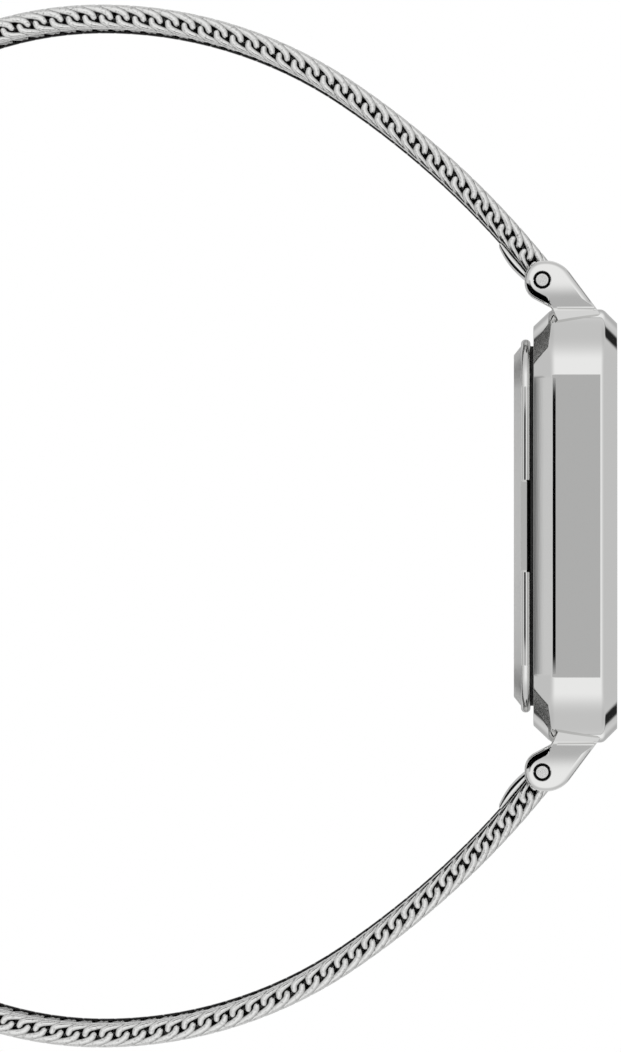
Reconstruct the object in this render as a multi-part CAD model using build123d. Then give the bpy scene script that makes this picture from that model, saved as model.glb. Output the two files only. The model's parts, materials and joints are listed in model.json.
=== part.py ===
from build123d import *
import math
import os

# Square wristwatch on a woven steel mesh bracelet, in millimetres.
# The origin is the centre of the case back's outer face. +Z points out of the dial,
# +Y to 12 o'clock and +X to the crown at 3 o'clock. The bracelet is closed in a loop.

# Fits
seat_gap = 0.02
running_gap = 0.03
side_gap = 0.10
overrun = 1.0

# Case
case_width = 26.0
case_corner = 3.85
case_side_flat = 3.10
back_bevel_height = 1.08
back_bevel_inset = 1.02
front_bevel = 0.84
case_wall = 2.65
bore_corner = 2.6

# Case back
plate_inset = 0.40
plate_bevel_inset = 0.55
plate_corner = 2.6
plate_height = 0.43
bead_inset = 1.80
bead_corner = 3.0
bead_height = 0.57
bead_chamfer = 0.20
back_gap = 0.18
gasket_ring_width = 0.45
floor_thickness = 0.60
rim_wall = 0.65
rim_height = 1.02
pry_flat_length = 5.3
pry_flat_depth = 0.30

# Crystal and dial
bezel_width = 2.30
crystal_corner = 2.3
crystal_thickness = 0.82
crystal_set_back = 0.03
crystal_edge_chamfer = 0.12
crystal_gasket_wall = 0.21
crystal_gasket_short = 0.12
ledge_width = 0.60
ledge_thickness = 0.40
rehaut_height = 1.00
rehaut_foot_wall = 0.75
rehaut_rim_wall = 0.35
dial_thickness = 0.35
marker_count = 12
marker_length = 1.9
marker_width = 0.34
marker_height = 0.16
marker_edge_distance = 1.15

# Movement
under_dial_gap = 0.50
module_inset = 1.75
main_plate_thickness = 1.00
board_inset = 0.15
board_sides = 16
board_thickness = 0.40
module_cover_inset = 0.15
module_cover_thickness = 0.30
battery_radius_share = 0.476
battery_thickness = 1.29
battery_angle = 231.0
battery_room = 0.15
battery_rim = 0.30
clamp_thickness = 0.15
clamp_width = 2.0
clamp_foot_length = 1.6
clamp_angle = 40.0
ring_height = 1.30

# Motion work and hands
diameter_per_tooth = 0.12
cannon_teeth = 10
motion_wheel_teeth = 30
motion_pinion_teeth = 8
hour_wheel_teeth = 32
tooth_tip_height = 0.102
tooth_root_depth = 0.138
tooth_root_share = 0.26
tooth_tip_share = 0.11
post_radius = 0.15
cannon_pipe_radius = 0.32
cannon_leaf_height = 0.38
cannon_lift = 0.04
motion_wheel_thickness = 0.18
motion_wheel_lift = 0.06
motion_pinion_height = 0.36
motion_stud_radius = 0.20
motion_well_room = 0.70
motion_well_depth = 0.45
hour_wheel_thickness = 0.16
hour_wheel_drop = 0.26
hour_pipe_wall = 0.15
hour_hand_lift = 0.25
hand_thickness = 0.15
hand_gap = 0.20
hour_hand_length_share = 0.667
minute_hand_room = 1.50
hour_hand_width = 0.85
minute_hand_width = 0.65
hand_tip_share = 0.55
hand_tail_length = 1.5
hour_boss_radius = 0.85
minute_boss_radius = 0.68
shown_hour = 10
shown_minute = 10
dial_hole_radius = 0.62

# Crown and stem
stem_height = 3.05
stem_radius = 0.30
stem_reach = 0.40
clutch_radius = 0.50
clutch_length = 1.3
clutch_teeth = 10
clutch_inset = 1.50
clutch_tooth_share = 0.5
clutch_root_share = 0.75
clutch_tooth_depth = 0.08
tube_radius = 0.75
tube_end_gap = 0.10
crown_radius = 1.40
crown_length = 1.90
crown_end_thickness = 0.35
crown_stand_off = 0.22
crown_flutes = 20
crown_flute_depth = 0.09
crown_ridge_share = 0.5
crown_recess_depth = 1.15
crown_gasket_wall = 0.17
crown_gasket_length = 0.30
crown_gasket_inset = 0.10

# Lugs and pins
lug_inset = 3.0
lug_thickness = 1.6
lug_round_radius = 1.15
lug_shoulder_radius = 1.80
lug_blend_angle = 100.0
lug_back_angle = 36.7
lug_belly_angle = 242.0
lug_hole_offset = 0.10
pin_beyond_case = 1.77
pin_height = 1.70
pin_radius = 0.50
pin_recess = 0.04
foot_spread_back = 1.20
foot_spread_front = 0.28
foot_top_drop = 0.08
foot_flare_height = 0.19
foot_sink = 0.9

# Mesh bracelet
mesh_side_gap = 0.40
row_length = 1.0
mesh_crest = 0.75
mesh_valley = 0.61
mesh_joint_round = 0.50
mesh_joint_gap = 0.09
mesh_lead_in = 0.35
socket_wrap_angle = 60
joint_round_angle = 100
socket_steps = 4
round_steps = 6
mesh_start_angle = 39.05
near_radius = 52.4
near_angle = 16.95
shoulder_radius = 26.4
shoulder_angle = 34.0
bend_radius = 22.2
bend_angle = 16.0
tail_depth = 45.3
tip_drop = 2.03
tail_reach = 6.1
tip_stop = 8.8
half_piece_count = 5

# Places along one row, as shares of its length, and the corners of its opening as shares of
# the row's length and of the crest height
outer_crest_share = 0.40
inner_crest_share = 0.60
lip_crest_share = 0.55
opening_shares = ((0.86, 0.48), (0.62, -0.36), (0.30, 0.10))

# Knuckles at the ends of the mesh
knuckle_radius = 0.95
knuckle_mesh_offset = 0.28
knuckle_side_gap = 0.15
tongue_thickness = 0.28
tongue_length = 2.4
tongue_bow = 0.10
tongue_bend_shares = (0.33, 0.67)
tongue_tip_gap = 0.14

# Clasp
channel_length = 9.5
channel_end_gap = 0.83
channel_wall = 0.35
channel_gap = 0.08
lip_width = 1.3
cover_wall = 0.40
cover_plate_thickness = 0.50
cover_round = 0.70
cover_hinge_gap = 0.80
cover_hinge_radius = 0.28
cover_knuckle_width = 2.4
cover_end_gap = 0.35
bar_radius = 0.35
ear_hole_radius = 0.30
lock_length = 6.2
lock_pin_radius = 0.15
lock_barrel_radius = 0.30
lock_ear_radius = 0.42
lock_pin_inset = 0.75
lock_tip_height = 0.25
lock_tip_length = 0.6

# Heights above the case back's outer face, from the sizes above
case_back = plate_height + bead_height + back_gap
side_back = case_back + back_bevel_height
side_front = side_back + case_side_flat
case_front = side_front + front_bevel
crystal_front = case_front - crystal_set_back
crystal_back = crystal_front - crystal_thickness
ledge_back = crystal_back - ledge_thickness
dial_front = ledge_back - rehaut_height
dial_back = dial_front - dial_thickness
main_plate_front = dial_back - under_dial_gap
main_plate_back = main_plate_front - main_plate_thickness
board_back = main_plate_back - board_thickness
module_back = board_back - module_cover_thickness
battery_front = main_plate_back
battery_back = battery_front - battery_thickness
well_floor = main_plate_front - motion_well_depth

# Widths, from the sizes above
case_half = case_width / 2
bore_width = case_width - 2 * case_wall
bead_width = case_width - 2 * bead_inset
plate_width = bead_width - 2 * plate_inset
gasket_width = bore_width + 2 * gasket_ring_width
crystal_width = case_width - 2 * bezel_width
main_plate_radius = bore_width / 2 - module_inset
board_radius = main_plate_radius - board_inset
module_cover_radius = board_radius - module_cover_inset
battery_radius = module_cover_radius * battery_radius_share
battery_distance = module_cover_radius - battery_radius - battery_room - battery_rim
battery_x = battery_distance * math.cos(math.radians(battery_angle))
battery_y = battery_distance * math.sin(math.radians(battery_angle))
minute_hand_length = bore_width / 2 - rehaut_foot_wall - minute_hand_room
hour_hand_length = minute_hand_length * hour_hand_length_share
clutch_start = main_plate_radius - clutch_inset
stem_inner_end = clutch_start - stem_reach
pin_y = case_half + pin_beyond_case
lug_outer_x = case_half - lug_inset
lug_inner_x = lug_outer_x - lug_thickness
mesh_half = lug_inner_x - mesh_side_gap


# Shared forms
def rounded_square(width, corner):
    return RectangleRounded(width, width, corner)


def square_slab(width, corner, low, high):
    return extrude(Pos(0, 0, low) * rounded_square(width, corner), amount=high - low)


def square_taper(width, corner, inset, start, end):
    # Grows narrower by inset on each side from start to end, up or down
    height = abs(end - start)
    side = 1 if end > start else -1
    taper = math.degrees(math.atan(inset / height))
    outline = Pos(0, 0, start) * rounded_square(width, corner)
    return extrude(outline, amount=height, dir=(0, 0, side), taper=taper)


def disc(radius, low, high, x=0, y=0):
    align = (Align.CENTER, Align.CENTER, Align.MIN)
    return Pos(x, y, low) * Cylinder(radius, high - low, align=align)


def cross_bar(radius, left, right, y, z):
    # A round bar along X
    align = (Align.CENTER, Align.CENTER, Align.MIN)
    return Plane(origin=(left, y, z), z_dir=(1, 0, 0)) * Cylinder(radius, right - left, align=align)


def side_plate(outline, left, right):
    # Carries an outline drawn in Y and Z along X
    plane = Plane(origin=(left, 0, 0), x_dir=(0, 1, 0), z_dir=(1, 0, 0))
    return extrude(plane * outline, amount=right - left)


def outline_of(points):
    return make_face(Polyline(*points, close=True))


def opposite(shape):
    # The same piece at 6 o'clock
    return mirror(shape, about=Plane.XZ)


def save(name, shape):
    export_step(shape, os.path.join("parts", name + ".step"))


# Case
def build_case_outside():
    body = square_slab(case_width, case_corner, side_back, side_front)
    body += square_taper(case_width, case_corner, back_bevel_inset, side_back, case_back)
    body += square_taper(case_width, case_corner, front_bevel, side_front, case_front)
    return body


def build_case_frame():
    body = build_case_outside()
    body -= square_slab(bore_width, bore_corner, case_back - overrun, ledge_back)
    aperture = crystal_width - 2 * ledge_width
    aperture_corner = crystal_corner - ledge_width / 2
    body -= square_slab(aperture, aperture_corner, ledge_back - overrun, case_front + overrun)
    recess = crystal_width + 2 * (crystal_gasket_wall + 2 * seat_gap)
    recess_corner = crystal_corner + crystal_gasket_wall
    body -= square_slab(recess, recess_corner, crystal_back, case_front + overrun)
    body -= cross_bar(tube_radius, bore_width / 2 - overrun, case_half + overrun, 0, stem_height)
    return body


def build_crystal():
    pane = square_slab(crystal_width, crystal_corner, crystal_back, crystal_front)
    top = pane.edges().group_by(Axis.Z)[-1]
    return chamfer(top, crystal_edge_chamfer)


def build_crystal_gasket():
    inner = crystal_width + 2 * seat_gap
    outer = inner + 2 * crystal_gasket_wall
    top = crystal_front - crystal_gasket_short
    ring = square_slab(outer, crystal_corner + crystal_gasket_wall, crystal_back, top)
    return ring - square_slab(inner, crystal_corner, crystal_back - overrun, top + overrun)


def build_caseback():
    bead_low = plate_height
    bead_high = plate_height + bead_height
    plate = square_taper(plate_width, plate_corner, plate_bevel_inset, plate_height, 0)
    bead = square_slab(bead_width, bead_corner, bead_low, bead_high)
    for level in (0, -1):
        bead = chamfer(bead.edges().group_by(Axis.Z)[level], bead_chamfer)
    rim_width = bore_width - 2 * seat_gap
    rim_top = case_back + rim_height
    rim = square_slab(rim_width, bore_corner, bead_high, rim_top)
    pan_width = rim_width - 2 * rim_wall
    body = plate + bead + rim
    body -= square_slab(pan_width, bore_corner, floor_thickness, rim_top + overrun)
    flat = Pos(-bead_width / 2, 0, (bead_low + bead_high) / 2)
    body -= flat * Box(2 * pry_flat_depth, pry_flat_length, bead_height)
    return body


def build_caseback_gasket():
    # Lies flat between the bead and the case, round the snap rim
    low = plate_height + bead_height
    ring = square_slab(gasket_width, bore_corner, low, case_back)
    return ring - square_slab(bore_width, bore_corner, low - overrun, case_back + overrun)


# Dial side
def build_rehaut_ring():
    width = bore_width - 2 * seat_gap
    ring = square_slab(width, bore_corner, dial_front, ledge_back)
    opening = width - 2 * rehaut_rim_wall
    slope = rehaut_foot_wall - rehaut_rim_wall
    corner = bore_corner - rehaut_rim_wall
    return ring - square_taper(opening, corner, slope, ledge_back, dial_front)


def build_dial_plate():
    plate = square_slab(bore_width - 2 * side_gap, bore_corner, dial_back, dial_front)
    return plate - disc(dial_hole_radius, dial_back - overrun, dial_front + overrun)


def build_hour_markers():
    # Twelve batons, each pointing at the centre and ending on a square line inside the ring
    limit = bore_width / 2 - rehaut_foot_wall - marker_edge_distance
    batons = []
    for hour in range(marker_count):
        angle = 2 * math.pi * hour / marker_count
        reach = limit / max(abs(math.sin(angle)), abs(math.cos(angle)))
        corner_reach = limit + bore_corner
        reach = min(reach, corner_reach)
        middle = reach - marker_length / 2
        place = Pos(middle * math.sin(angle), middle * math.cos(angle), dial_front)
        turn = Rot(0, 0, -math.degrees(angle))
        align = (Align.CENTER, Align.CENTER, Align.MIN)
        batons.append(place * turn * Box(marker_width, marker_length, marker_height, align=align))
    return Compound(children=batons)


# Movement
def build_movement_ring():
    width = bore_width - 2 * side_gap
    ring = square_slab(width, bore_corner, dial_back - ring_height, dial_back)
    bore = main_plate_radius + running_gap
    ring -= disc(bore, dial_back - ring_height - overrun, dial_back + overrun)
    slot_half = stem_radius + side_gap
    slot_depth = dial_back - stem_height + slot_half
    slot = Pos(width / 2, 0, dial_back) * Box(width / 2, 2 * slot_half, 2 * slot_depth)
    return ring - slot


def build_main_plate():
    plate = disc(main_plate_radius, main_plate_back, main_plate_front)
    well = gear_reach(motion_wheel_teeth) - stud_y + motion_well_room
    plate -= disc(well, well_floor, main_plate_front + overrun)
    clutch_room = 2 * (clutch_radius + side_gap)
    trench_length = main_plate_radius - clutch_start + overrun + 2 * side_gap
    trench_middle = clutch_start - 2 * side_gap + trench_length / 2
    trench = Pos(trench_middle, 0, stem_height) * Box(trench_length, clutch_room, clutch_room)
    plate -= trench
    bore = stem_radius + running_gap
    plate -= cross_bar(bore, stem_inner_end - side_gap, main_plate_radius, 0, stem_height)
    post_top = main_plate_front + under_dial_gap + dial_thickness + hour_hand_lift
    plate += disc(post_radius, well_floor, post_top)
    plate += disc(motion_stud_radius, well_floor, dial_back - side_gap, 0, stud_y)
    return plate


def build_circuit_board():
    outline = Pos(0, 0, board_back) * RegularPolygon(board_radius, board_sides)
    board = extrude(outline, amount=board_thickness)
    pocket = battery_radius + battery_room
    return board - disc(pocket, board_back - overrun, main_plate_back + overrun, battery_x, battery_y)


def build_module_cover():
    outline = Pos(0, 0, module_back) * RegularPolygon(module_cover_radius, board_sides)
    cover = extrude(outline, amount=module_cover_thickness)
    pocket = battery_radius + battery_room
    return cover - disc(pocket, module_back - overrun, board_back + overrun, battery_x, battery_y)


def build_battery():
    return disc(battery_radius, battery_back, battery_front, battery_x, battery_y)


def build_battery_clamp():
    # A spring strip over the battery whose two feet step down to the module cover
    half = battery_radius + clamp_foot_length
    inner = battery_radius + battery_room
    outer = inner + clamp_thickness
    top = battery_back
    low = module_back
    points = [
        (-half, -low),
        (-inner, -low),
        (-inner, -top),
        (inner, -top),
        (inner, -low),
        (half, -low),
        (half, clamp_thickness - low),
        (outer, clamp_thickness - low),
        (outer, clamp_thickness - top),
        (-outer, clamp_thickness - top),
        (-outer, clamp_thickness - low),
        (-half, clamp_thickness - low),
    ]
    plane = Plane(origin=(0, -clamp_width / 2, 0), x_dir=(1, 0, 0), z_dir=(0, 1, 0))
    strip = extrude(plane * outline_of(points), amount=clamp_width)
    return Pos(battery_x, battery_y, 0) * Rot(0, 0, -clamp_angle) * strip


# Motion work
def gear_reach(teeth):
    # The radius at the tips of the teeth
    return diameter_per_tooth * teeth / 2 + tooth_tip_height


def gear_outline(teeth, phase):
    # Straight-flanked teeth, one pointing along the phase angle
    tip = gear_reach(teeth)
    root = tip - tooth_tip_height - tooth_root_depth
    step = 2 * math.pi / teeth
    points = []
    for tooth in range(teeth):
        middle = phase + tooth * step
        corners = (
            (root, -tooth_root_share),
            (tip, -tooth_tip_share),
            (tip, tooth_tip_share),
            (root, tooth_root_share),
        )
        for radius, share in corners:
            angle = middle + share * step
            points.append((radius * math.cos(angle), radius * math.sin(angle)))
    return outline_of(points)


def gear(teeth, phase, low, high, x=0, y=0):
    return extrude(Pos(x, y, low) * gear_outline(teeth, phase), amount=high - low)


stud_y = -diameter_per_tooth * (cannon_teeth + motion_wheel_teeth) / 2
toward_stud = -math.pi / 2
toward_centre = math.pi / 2
motion_wheel_low = well_floor + motion_wheel_lift
motion_wheel_high = motion_wheel_low + motion_wheel_thickness
hour_wheel_high = dial_back - hour_wheel_drop
hour_wheel_low = hour_wheel_high - hour_wheel_thickness
hour_pipe_bore = cannon_pipe_radius + running_gap
hour_pipe_radius = hour_pipe_bore + hour_pipe_wall
hour_hand_low = dial_front + hour_hand_lift
hour_hand_high = hour_hand_low + hand_thickness
minute_hand_low = hour_hand_high + hand_gap
minute_hand_high = minute_hand_low + hand_thickness


def build_cannon_pinion():
    low = well_floor + cannon_lift
    pinion = gear(cannon_teeth, toward_stud, low, low + cannon_leaf_height)
    pinion += disc(cannon_pipe_radius, low, minute_hand_high)
    return pinion - disc(post_radius + running_gap, low - overrun, minute_hand_low)


def build_motion_wheel():
    phase = toward_centre + math.pi / motion_wheel_teeth
    wheel = gear(motion_wheel_teeth, phase, motion_wheel_low, motion_wheel_high, 0, stud_y)
    top = motion_wheel_high + motion_pinion_height
    wheel += gear(motion_pinion_teeth, toward_centre, motion_wheel_high, top, 0, stud_y)
    return wheel - disc(motion_stud_radius + running_gap, well_floor - overrun, top + overrun, 0, stud_y)


def build_hour_wheel():
    phase = toward_stud + math.pi / hour_wheel_teeth
    wheel = gear(hour_wheel_teeth, phase, hour_wheel_low, hour_wheel_high)
    wheel += disc(hour_pipe_radius, hour_wheel_low, hour_hand_high)
    return wheel - disc(hour_pipe_bore, hour_wheel_low - overrun, hour_hand_high + overrun)


def build_hand(length, width, boss, bore, low, clock_angle):
    tail = min(hand_tail_length, length / 2)
    tip = width * hand_tip_share
    outline = outline_of([(-width / 2, -tail), (width / 2, -tail), (tip / 2, length), (-tip / 2, length)])
    hand = extrude(Pos(0, 0, low) * outline, amount=hand_thickness)
    hand = Rot(0, 0, -clock_angle) * hand
    hand += disc(boss, low, low + hand_thickness)
    return hand - disc(bore, low - overrun, low + overrun)


# Crown and stem
crown_inner_face = case_half + crown_stand_off
tube_outer_end = crown_inner_face + crown_recess_depth - tube_end_gap
crown_hole_end = crown_inner_face + crown_length - crown_end_thickness


def build_crown_tube():
    tube = cross_bar(tube_radius, bore_width / 2 + side_gap, tube_outer_end, 0, stem_height)
    bore = stem_radius + running_gap
    return tube - cross_bar(bore, bore_width / 2 - overrun, tube_outer_end + overrun, 0, stem_height)


def crown_outline():
    step = 2 * math.pi / crown_flutes
    points = []
    for flute in range(crown_flutes):
        for radius, share in ((crown_radius - crown_flute_depth, 0), (crown_radius, crown_ridge_share)):
            angle = (flute + share) * step
            points.append((radius * math.cos(angle), radius * math.sin(angle)))
    return outline_of(points)


def build_crown():
    face = Plane(origin=(crown_inner_face, 0, stem_height), z_dir=(1, 0, 0)) * crown_outline()
    crown = extrude(face, amount=crown_length)
    recess = tube_radius + crown_gasket_wall + 2 * seat_gap
    inner = crown_inner_face
    crown -= cross_bar(recess, inner - overrun, inner + crown_recess_depth, 0, stem_height)
    return crown - cross_bar(stem_radius, inner, crown_hole_end, 0, stem_height)


def build_winding_stem():
    return cross_bar(stem_radius, stem_inner_end, crown_hole_end, 0, stem_height)


def build_crown_gasket():
    # Sits inside the mouth of the recess and stays on the tube when the crown is pulled out
    start = crown_inner_face + crown_gasket_inset
    end = start + crown_gasket_length
    bore = tube_radius + seat_gap
    ring = cross_bar(bore + crown_gasket_wall, start, end, 0, stem_height)
    return ring - cross_bar(bore, start - overrun, end + overrun, 0, stem_height)


def build_clutch_pinion():
    step = 2 * math.pi / clutch_teeth
    root = clutch_radius - clutch_tooth_depth
    corners = ((clutch_radius, 0), (clutch_radius, clutch_tooth_share), (root, clutch_root_share))
    points = []
    for tooth in range(clutch_teeth):
        for radius, share in corners:
            angle = (tooth + share) * step
            points.append((radius * math.cos(angle), radius * math.sin(angle)))
    plane = Plane(origin=(clutch_start, 0, stem_height), z_dir=(1, 0, 0))
    pinion = extrude(plane * outline_of(points), amount=clutch_length)
    bore = stem_radius + running_gap
    end = clutch_start + clutch_length + overrun
    return pinion - cross_bar(bore, clutch_start - overrun, end, 0, stem_height)


# Lugs
def point_at(centre, radius, degrees):
    # Angles turn from +Z towards +Y, and points are (y, z)
    angle = math.radians(degrees)
    return (centre[0] + radius * math.sin(angle), centre[1] + radius * math.cos(angle))


def lug_outline():
    round_centre = (pin_y, pin_height + lug_hole_offset)
    reach = lug_shoulder_radius - lug_round_radius
    shoulder_centre = point_at(round_centre, -reach, lug_blend_angle)
    blend = point_at(round_centre, lug_round_radius, lug_blend_angle)
    shoulder_angle = (lug_blend_angle + lug_back_angle) / 2
    shoulder_middle = point_at(shoulder_centre, lug_shoulder_radius, shoulder_angle)
    back_top = point_at(shoulder_centre, lug_shoulder_radius, lug_back_angle)
    round_angle = (lug_blend_angle + lug_belly_angle) / 2
    round_middle = point_at(round_centre, lug_round_radius, round_angle)
    belly = point_at(round_centre, lug_round_radius, lug_belly_angle)
    foot_y = case_half - foot_sink
    back_run = (back_top[0] - foot_y) * math.tan(math.radians(lug_back_angle))
    slope = math.radians(lug_belly_angle - 180)
    belly_drop = (side_back - belly[1]) / math.tan(slope)
    neck = (belly[0] - belly_drop, side_back)
    front_foot = (case_half, back_top[1] + back_run - foot_sink * math.tan(math.radians(lug_back_angle)))
    edges = [
        Line(front_foot, back_top),
        ThreePointArc(back_top, shoulder_middle, blend),
        ThreePointArc(blend, round_middle, belly),
        Line(belly, neck),
        Line(neck, (foot_y, side_back)),
        Line((foot_y, side_back), (foot_y, front_foot[1])),
        Line((foot_y, front_foot[1]), front_foot),
    ]
    return make_face(edges), front_foot[1]


def build_upper_right_lug(case_outside):
    outline, foot_front = lug_outline()
    lug = side_plate(outline, lug_inner_x, lug_outer_x)
    top = case_half - foot_top_drop + foot_flare_height
    middle = case_half - foot_top_drop
    low = case_half - foot_sink
    plane_top = Plane(origin=(0, top, 0), x_dir=(1, 0, 0), z_dir=(0, -1, 0))
    plane_middle = Plane(origin=(0, middle, 0), x_dir=(1, 0, 0), z_dir=(0, -1, 0))
    slim = [
        (lug_inner_x, side_back),
        (lug_outer_x, side_back),
        (lug_outer_x, foot_front),
        (lug_inner_x, foot_front),
    ]
    wide = [
        (lug_inner_x, side_back),
        (lug_outer_x + foot_spread_back, side_back),
        (lug_outer_x + foot_spread_front, foot_front),
        (lug_inner_x, foot_front),
    ]
    flare = loft([plane_top * outline_of(slim), plane_middle * outline_of(wide)], ruled=True)
    foot = extrude(plane_middle * outline_of(wide), amount=middle - low)
    lug = lug + flare + foot - case_outside
    hole = pin_radius + running_gap
    return lug - cross_bar(hole, lug_inner_x - overrun, lug_outer_x + overrun, pin_y, pin_height)


def build_upper_lug_pin():
    half = lug_outer_x - pin_recess
    return cross_bar(pin_radius, -half, half, pin_y, pin_height)


# Mesh bracelet: three arcs that the side view shows, then one round the wrist's back to flat
seen_arcs = ((near_radius, near_angle), (shoulder_radius, shoulder_angle), (bend_radius, bend_angle))
seen_length = 0
hidden_angle = 180 - mesh_start_angle
for arc_radius, arc_angle in seen_arcs:
    seen_length += arc_radius * math.radians(arc_angle)
    hidden_angle -= arc_angle
knuckle_start = math.sqrt(knuckle_radius**2 - knuckle_mesh_offset**2)


def out_and_along(heading):
    # Headings turn from +Y towards -Z. The outward side is away from the wrist.
    angle = math.radians(heading)
    along = (math.cos(angle), -math.sin(angle))
    outward = (math.sin(angle), math.cos(angle))
    return outward, along


def band_station(distance, hidden_radius):
    # The place and heading at a distance along the upper mesh's middle line
    outward, along = out_and_along(mesh_start_angle)
    y = pin_y + outward[0] * knuckle_mesh_offset + along[0] * knuckle_start
    z = pin_height + outward[1] * knuckle_mesh_offset + along[1] * knuckle_start
    heading = mesh_start_angle
    left = distance
    for radius, turn in (*seen_arcs, (hidden_radius, hidden_angle)):
        if left <= 0:
            break
        step = min(left, radius * math.radians(turn))
        turned = heading + math.degrees(step / radius)
        y += radius * (math.sin(math.radians(turned)) - math.sin(math.radians(heading)))
        z += radius * (math.cos(math.radians(turned)) - math.cos(math.radians(heading)))
        heading = turned
        left -= step
    outward, along = out_and_along(heading)
    return y + along[0] * left, z + along[1] * left, heading


def radius_to_level(level):
    # The last arc's radius, so that the mesh turns flat at that height under the case
    z, heading = band_station(seen_length, near_radius)[1:]
    return (z - level) / (1 + math.cos(math.radians(heading)))


def rows_in_lengths(hidden_radius, end_y):
    # How many rows each length of a half has, so that the half ends about there
    curved = seen_length + hidden_radius * math.radians(hidden_angle)
    run = band_station(curved, hidden_radius)[0] - end_y
    rows = round((curved + run) / row_length)
    shortest = rows // half_piece_count
    longer = rows % half_piece_count
    return [shortest + 1] * longer + [shortest] * (half_piece_count - longer)


def band_point(distance, height, hidden_radius):
    y, z, heading = band_station(distance, hidden_radius)
    outward, along = out_and_along(heading)
    return (y + outward[0] * height, z + outward[1] * height)


def arc_points(centre, radius, start, end, steps):
    # From start to end in degrees, turning from along the mesh towards its outside
    points = []
    for step in range(steps + 1):
        angle = math.radians(start + (end - start) * step / steps)
        points.append((centre + radius * math.cos(angle), radius * math.sin(angle)))
    return points


def chain_outline(first_row, last_row, socket, rounded):
    # One length of mesh seen from its edge: coils side by side give scalloped faces. A socket
    # takes the rounded end of the length before it, and both turn about the same line.
    start = first_row * row_length
    end = last_row * row_length
    outer = []
    inner = []
    for row in range(first_row, last_row):
        outer_share = outer_crest_share
        inner_share = inner_crest_share
        if socket and row == first_row:
            outer_share = lip_crest_share
            inner_share = lip_crest_share
        outer.append(((row + outer_share) * row_length, mesh_crest))
        inner.append(((row + inner_share) * row_length, -mesh_crest))
        if row + 1 < last_row:
            outer.append(((row + 1) * row_length, mesh_valley))
            inner.append(((row + 1) * row_length, -mesh_valley))
    if rounded:
        cap = arc_points(end, mesh_joint_round, joint_round_angle, -joint_round_angle, round_steps)
    else:
        cap = [(end + mesh_lead_in, mesh_valley), (end + mesh_lead_in, -mesh_valley)]
    if socket:
        radius = mesh_joint_round + mesh_joint_gap
        mouth = arc_points(start, radius, -socket_wrap_angle, socket_wrap_angle, socket_steps)
    else:
        mouth = [(start - mesh_lead_in, -mesh_valley), (start - mesh_lead_in, mesh_valley)]
    return outer + cap + inner[::-1] + mouth


def build_mesh(first_row, last_row, socket, rounded, hidden_radius):
    outline = chain_outline(first_row, last_row, socket, rounded)
    points = [band_point(distance, height, hidden_radius) for distance, height in outline]
    openings = []
    skipped = 1 if socket else 0
    for row in range(first_row + skipped, last_row):
        corners = []
        for along_share, height_share in opening_shares:
            distance = (row + along_share) * row_length
            corners.append(band_point(distance, height_share * mesh_crest, hidden_radius))
        openings.append(corners)
    return mesh_prism(points, openings)


def mesh_prism(points, openings):
    outer = Wire.make_polygon([(-mesh_half, y, z) for y, z in points], close=True)
    holes = []
    for corners in openings:
        holes.append(Wire.make_polygon([(-mesh_half, y, z) for y, z in corners], close=True))
    return extrude(Face(outer, holes), amount=2 * mesh_half, dir=(1, 0, 0))


def knuckle_place(distance, back, hidden_radius):
    # The knuckle's middle beside the mesh's end, and the directions away from the wrist and
    # into the mesh
    y, z, heading = band_station(distance, hidden_radius)
    outward, along = out_and_along(heading)
    side = -1 if back else 1
    centre_y = y - outward[0] * knuckle_mesh_offset - side * along[0] * knuckle_start
    centre_z = z - outward[1] * knuckle_mesh_offset - side * along[1] * knuckle_start
    return (centre_y, centre_z), outward, (side * along[0], side * along[1])


def build_knuckle(distance, back, hidden_radius, half, bore):
    # A barrel round the pin whose tongue lies along the mesh's wrist side
    centre, outward, into = knuckle_place(distance, back, hidden_radius)
    barrel = cross_bar(knuckle_radius, -half, half, centre[0], centre[1])
    inner_face = mesh_crest - knuckle_mesh_offset
    tangent = knuckle_radius
    tip_top = inner_face + tongue_tip_gap
    middle_low = tangent + tongue_bow
    reach = knuckle_start + tongue_length
    first_bend = reach * tongue_bend_shares[0]
    second_bend = reach * tongue_bend_shares[1]
    tip_low = tip_top + tongue_thickness
    profile = [
        (0, -tangent),
        (first_bend, -middle_low),
        (second_bend, -(middle_low + tip_low) / 2),
        (reach, -tip_low),
        (reach, -tip_top),
        (second_bend, tongue_thickness - (middle_low + tip_low) / 2),
        (first_bend, tongue_thickness - middle_low),
        (0, tongue_thickness - tangent),
    ]
    points = []
    for run, height in profile:
        y = centre[0] + into[0] * run + outward[0] * height
        z = centre[1] + into[1] * run + outward[1] * height
        points.append((y, z))
    tongue = side_plate(outline_of(points), -mesh_half, mesh_half)
    body = barrel + tongue
    return body - cross_bar(bore, -half - overrun, half + overrun, centre[0], centre[1])


tail_level = pin_height - tail_depth
upper_hidden_radius = radius_to_level(tail_level - tip_drop)
lower_hidden_radius = radius_to_level(tail_level)
upper_rows = rows_in_lengths(upper_hidden_radius, tip_stop)
lower_rows = rows_in_lengths(lower_hidden_radius, -tail_reach)

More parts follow.
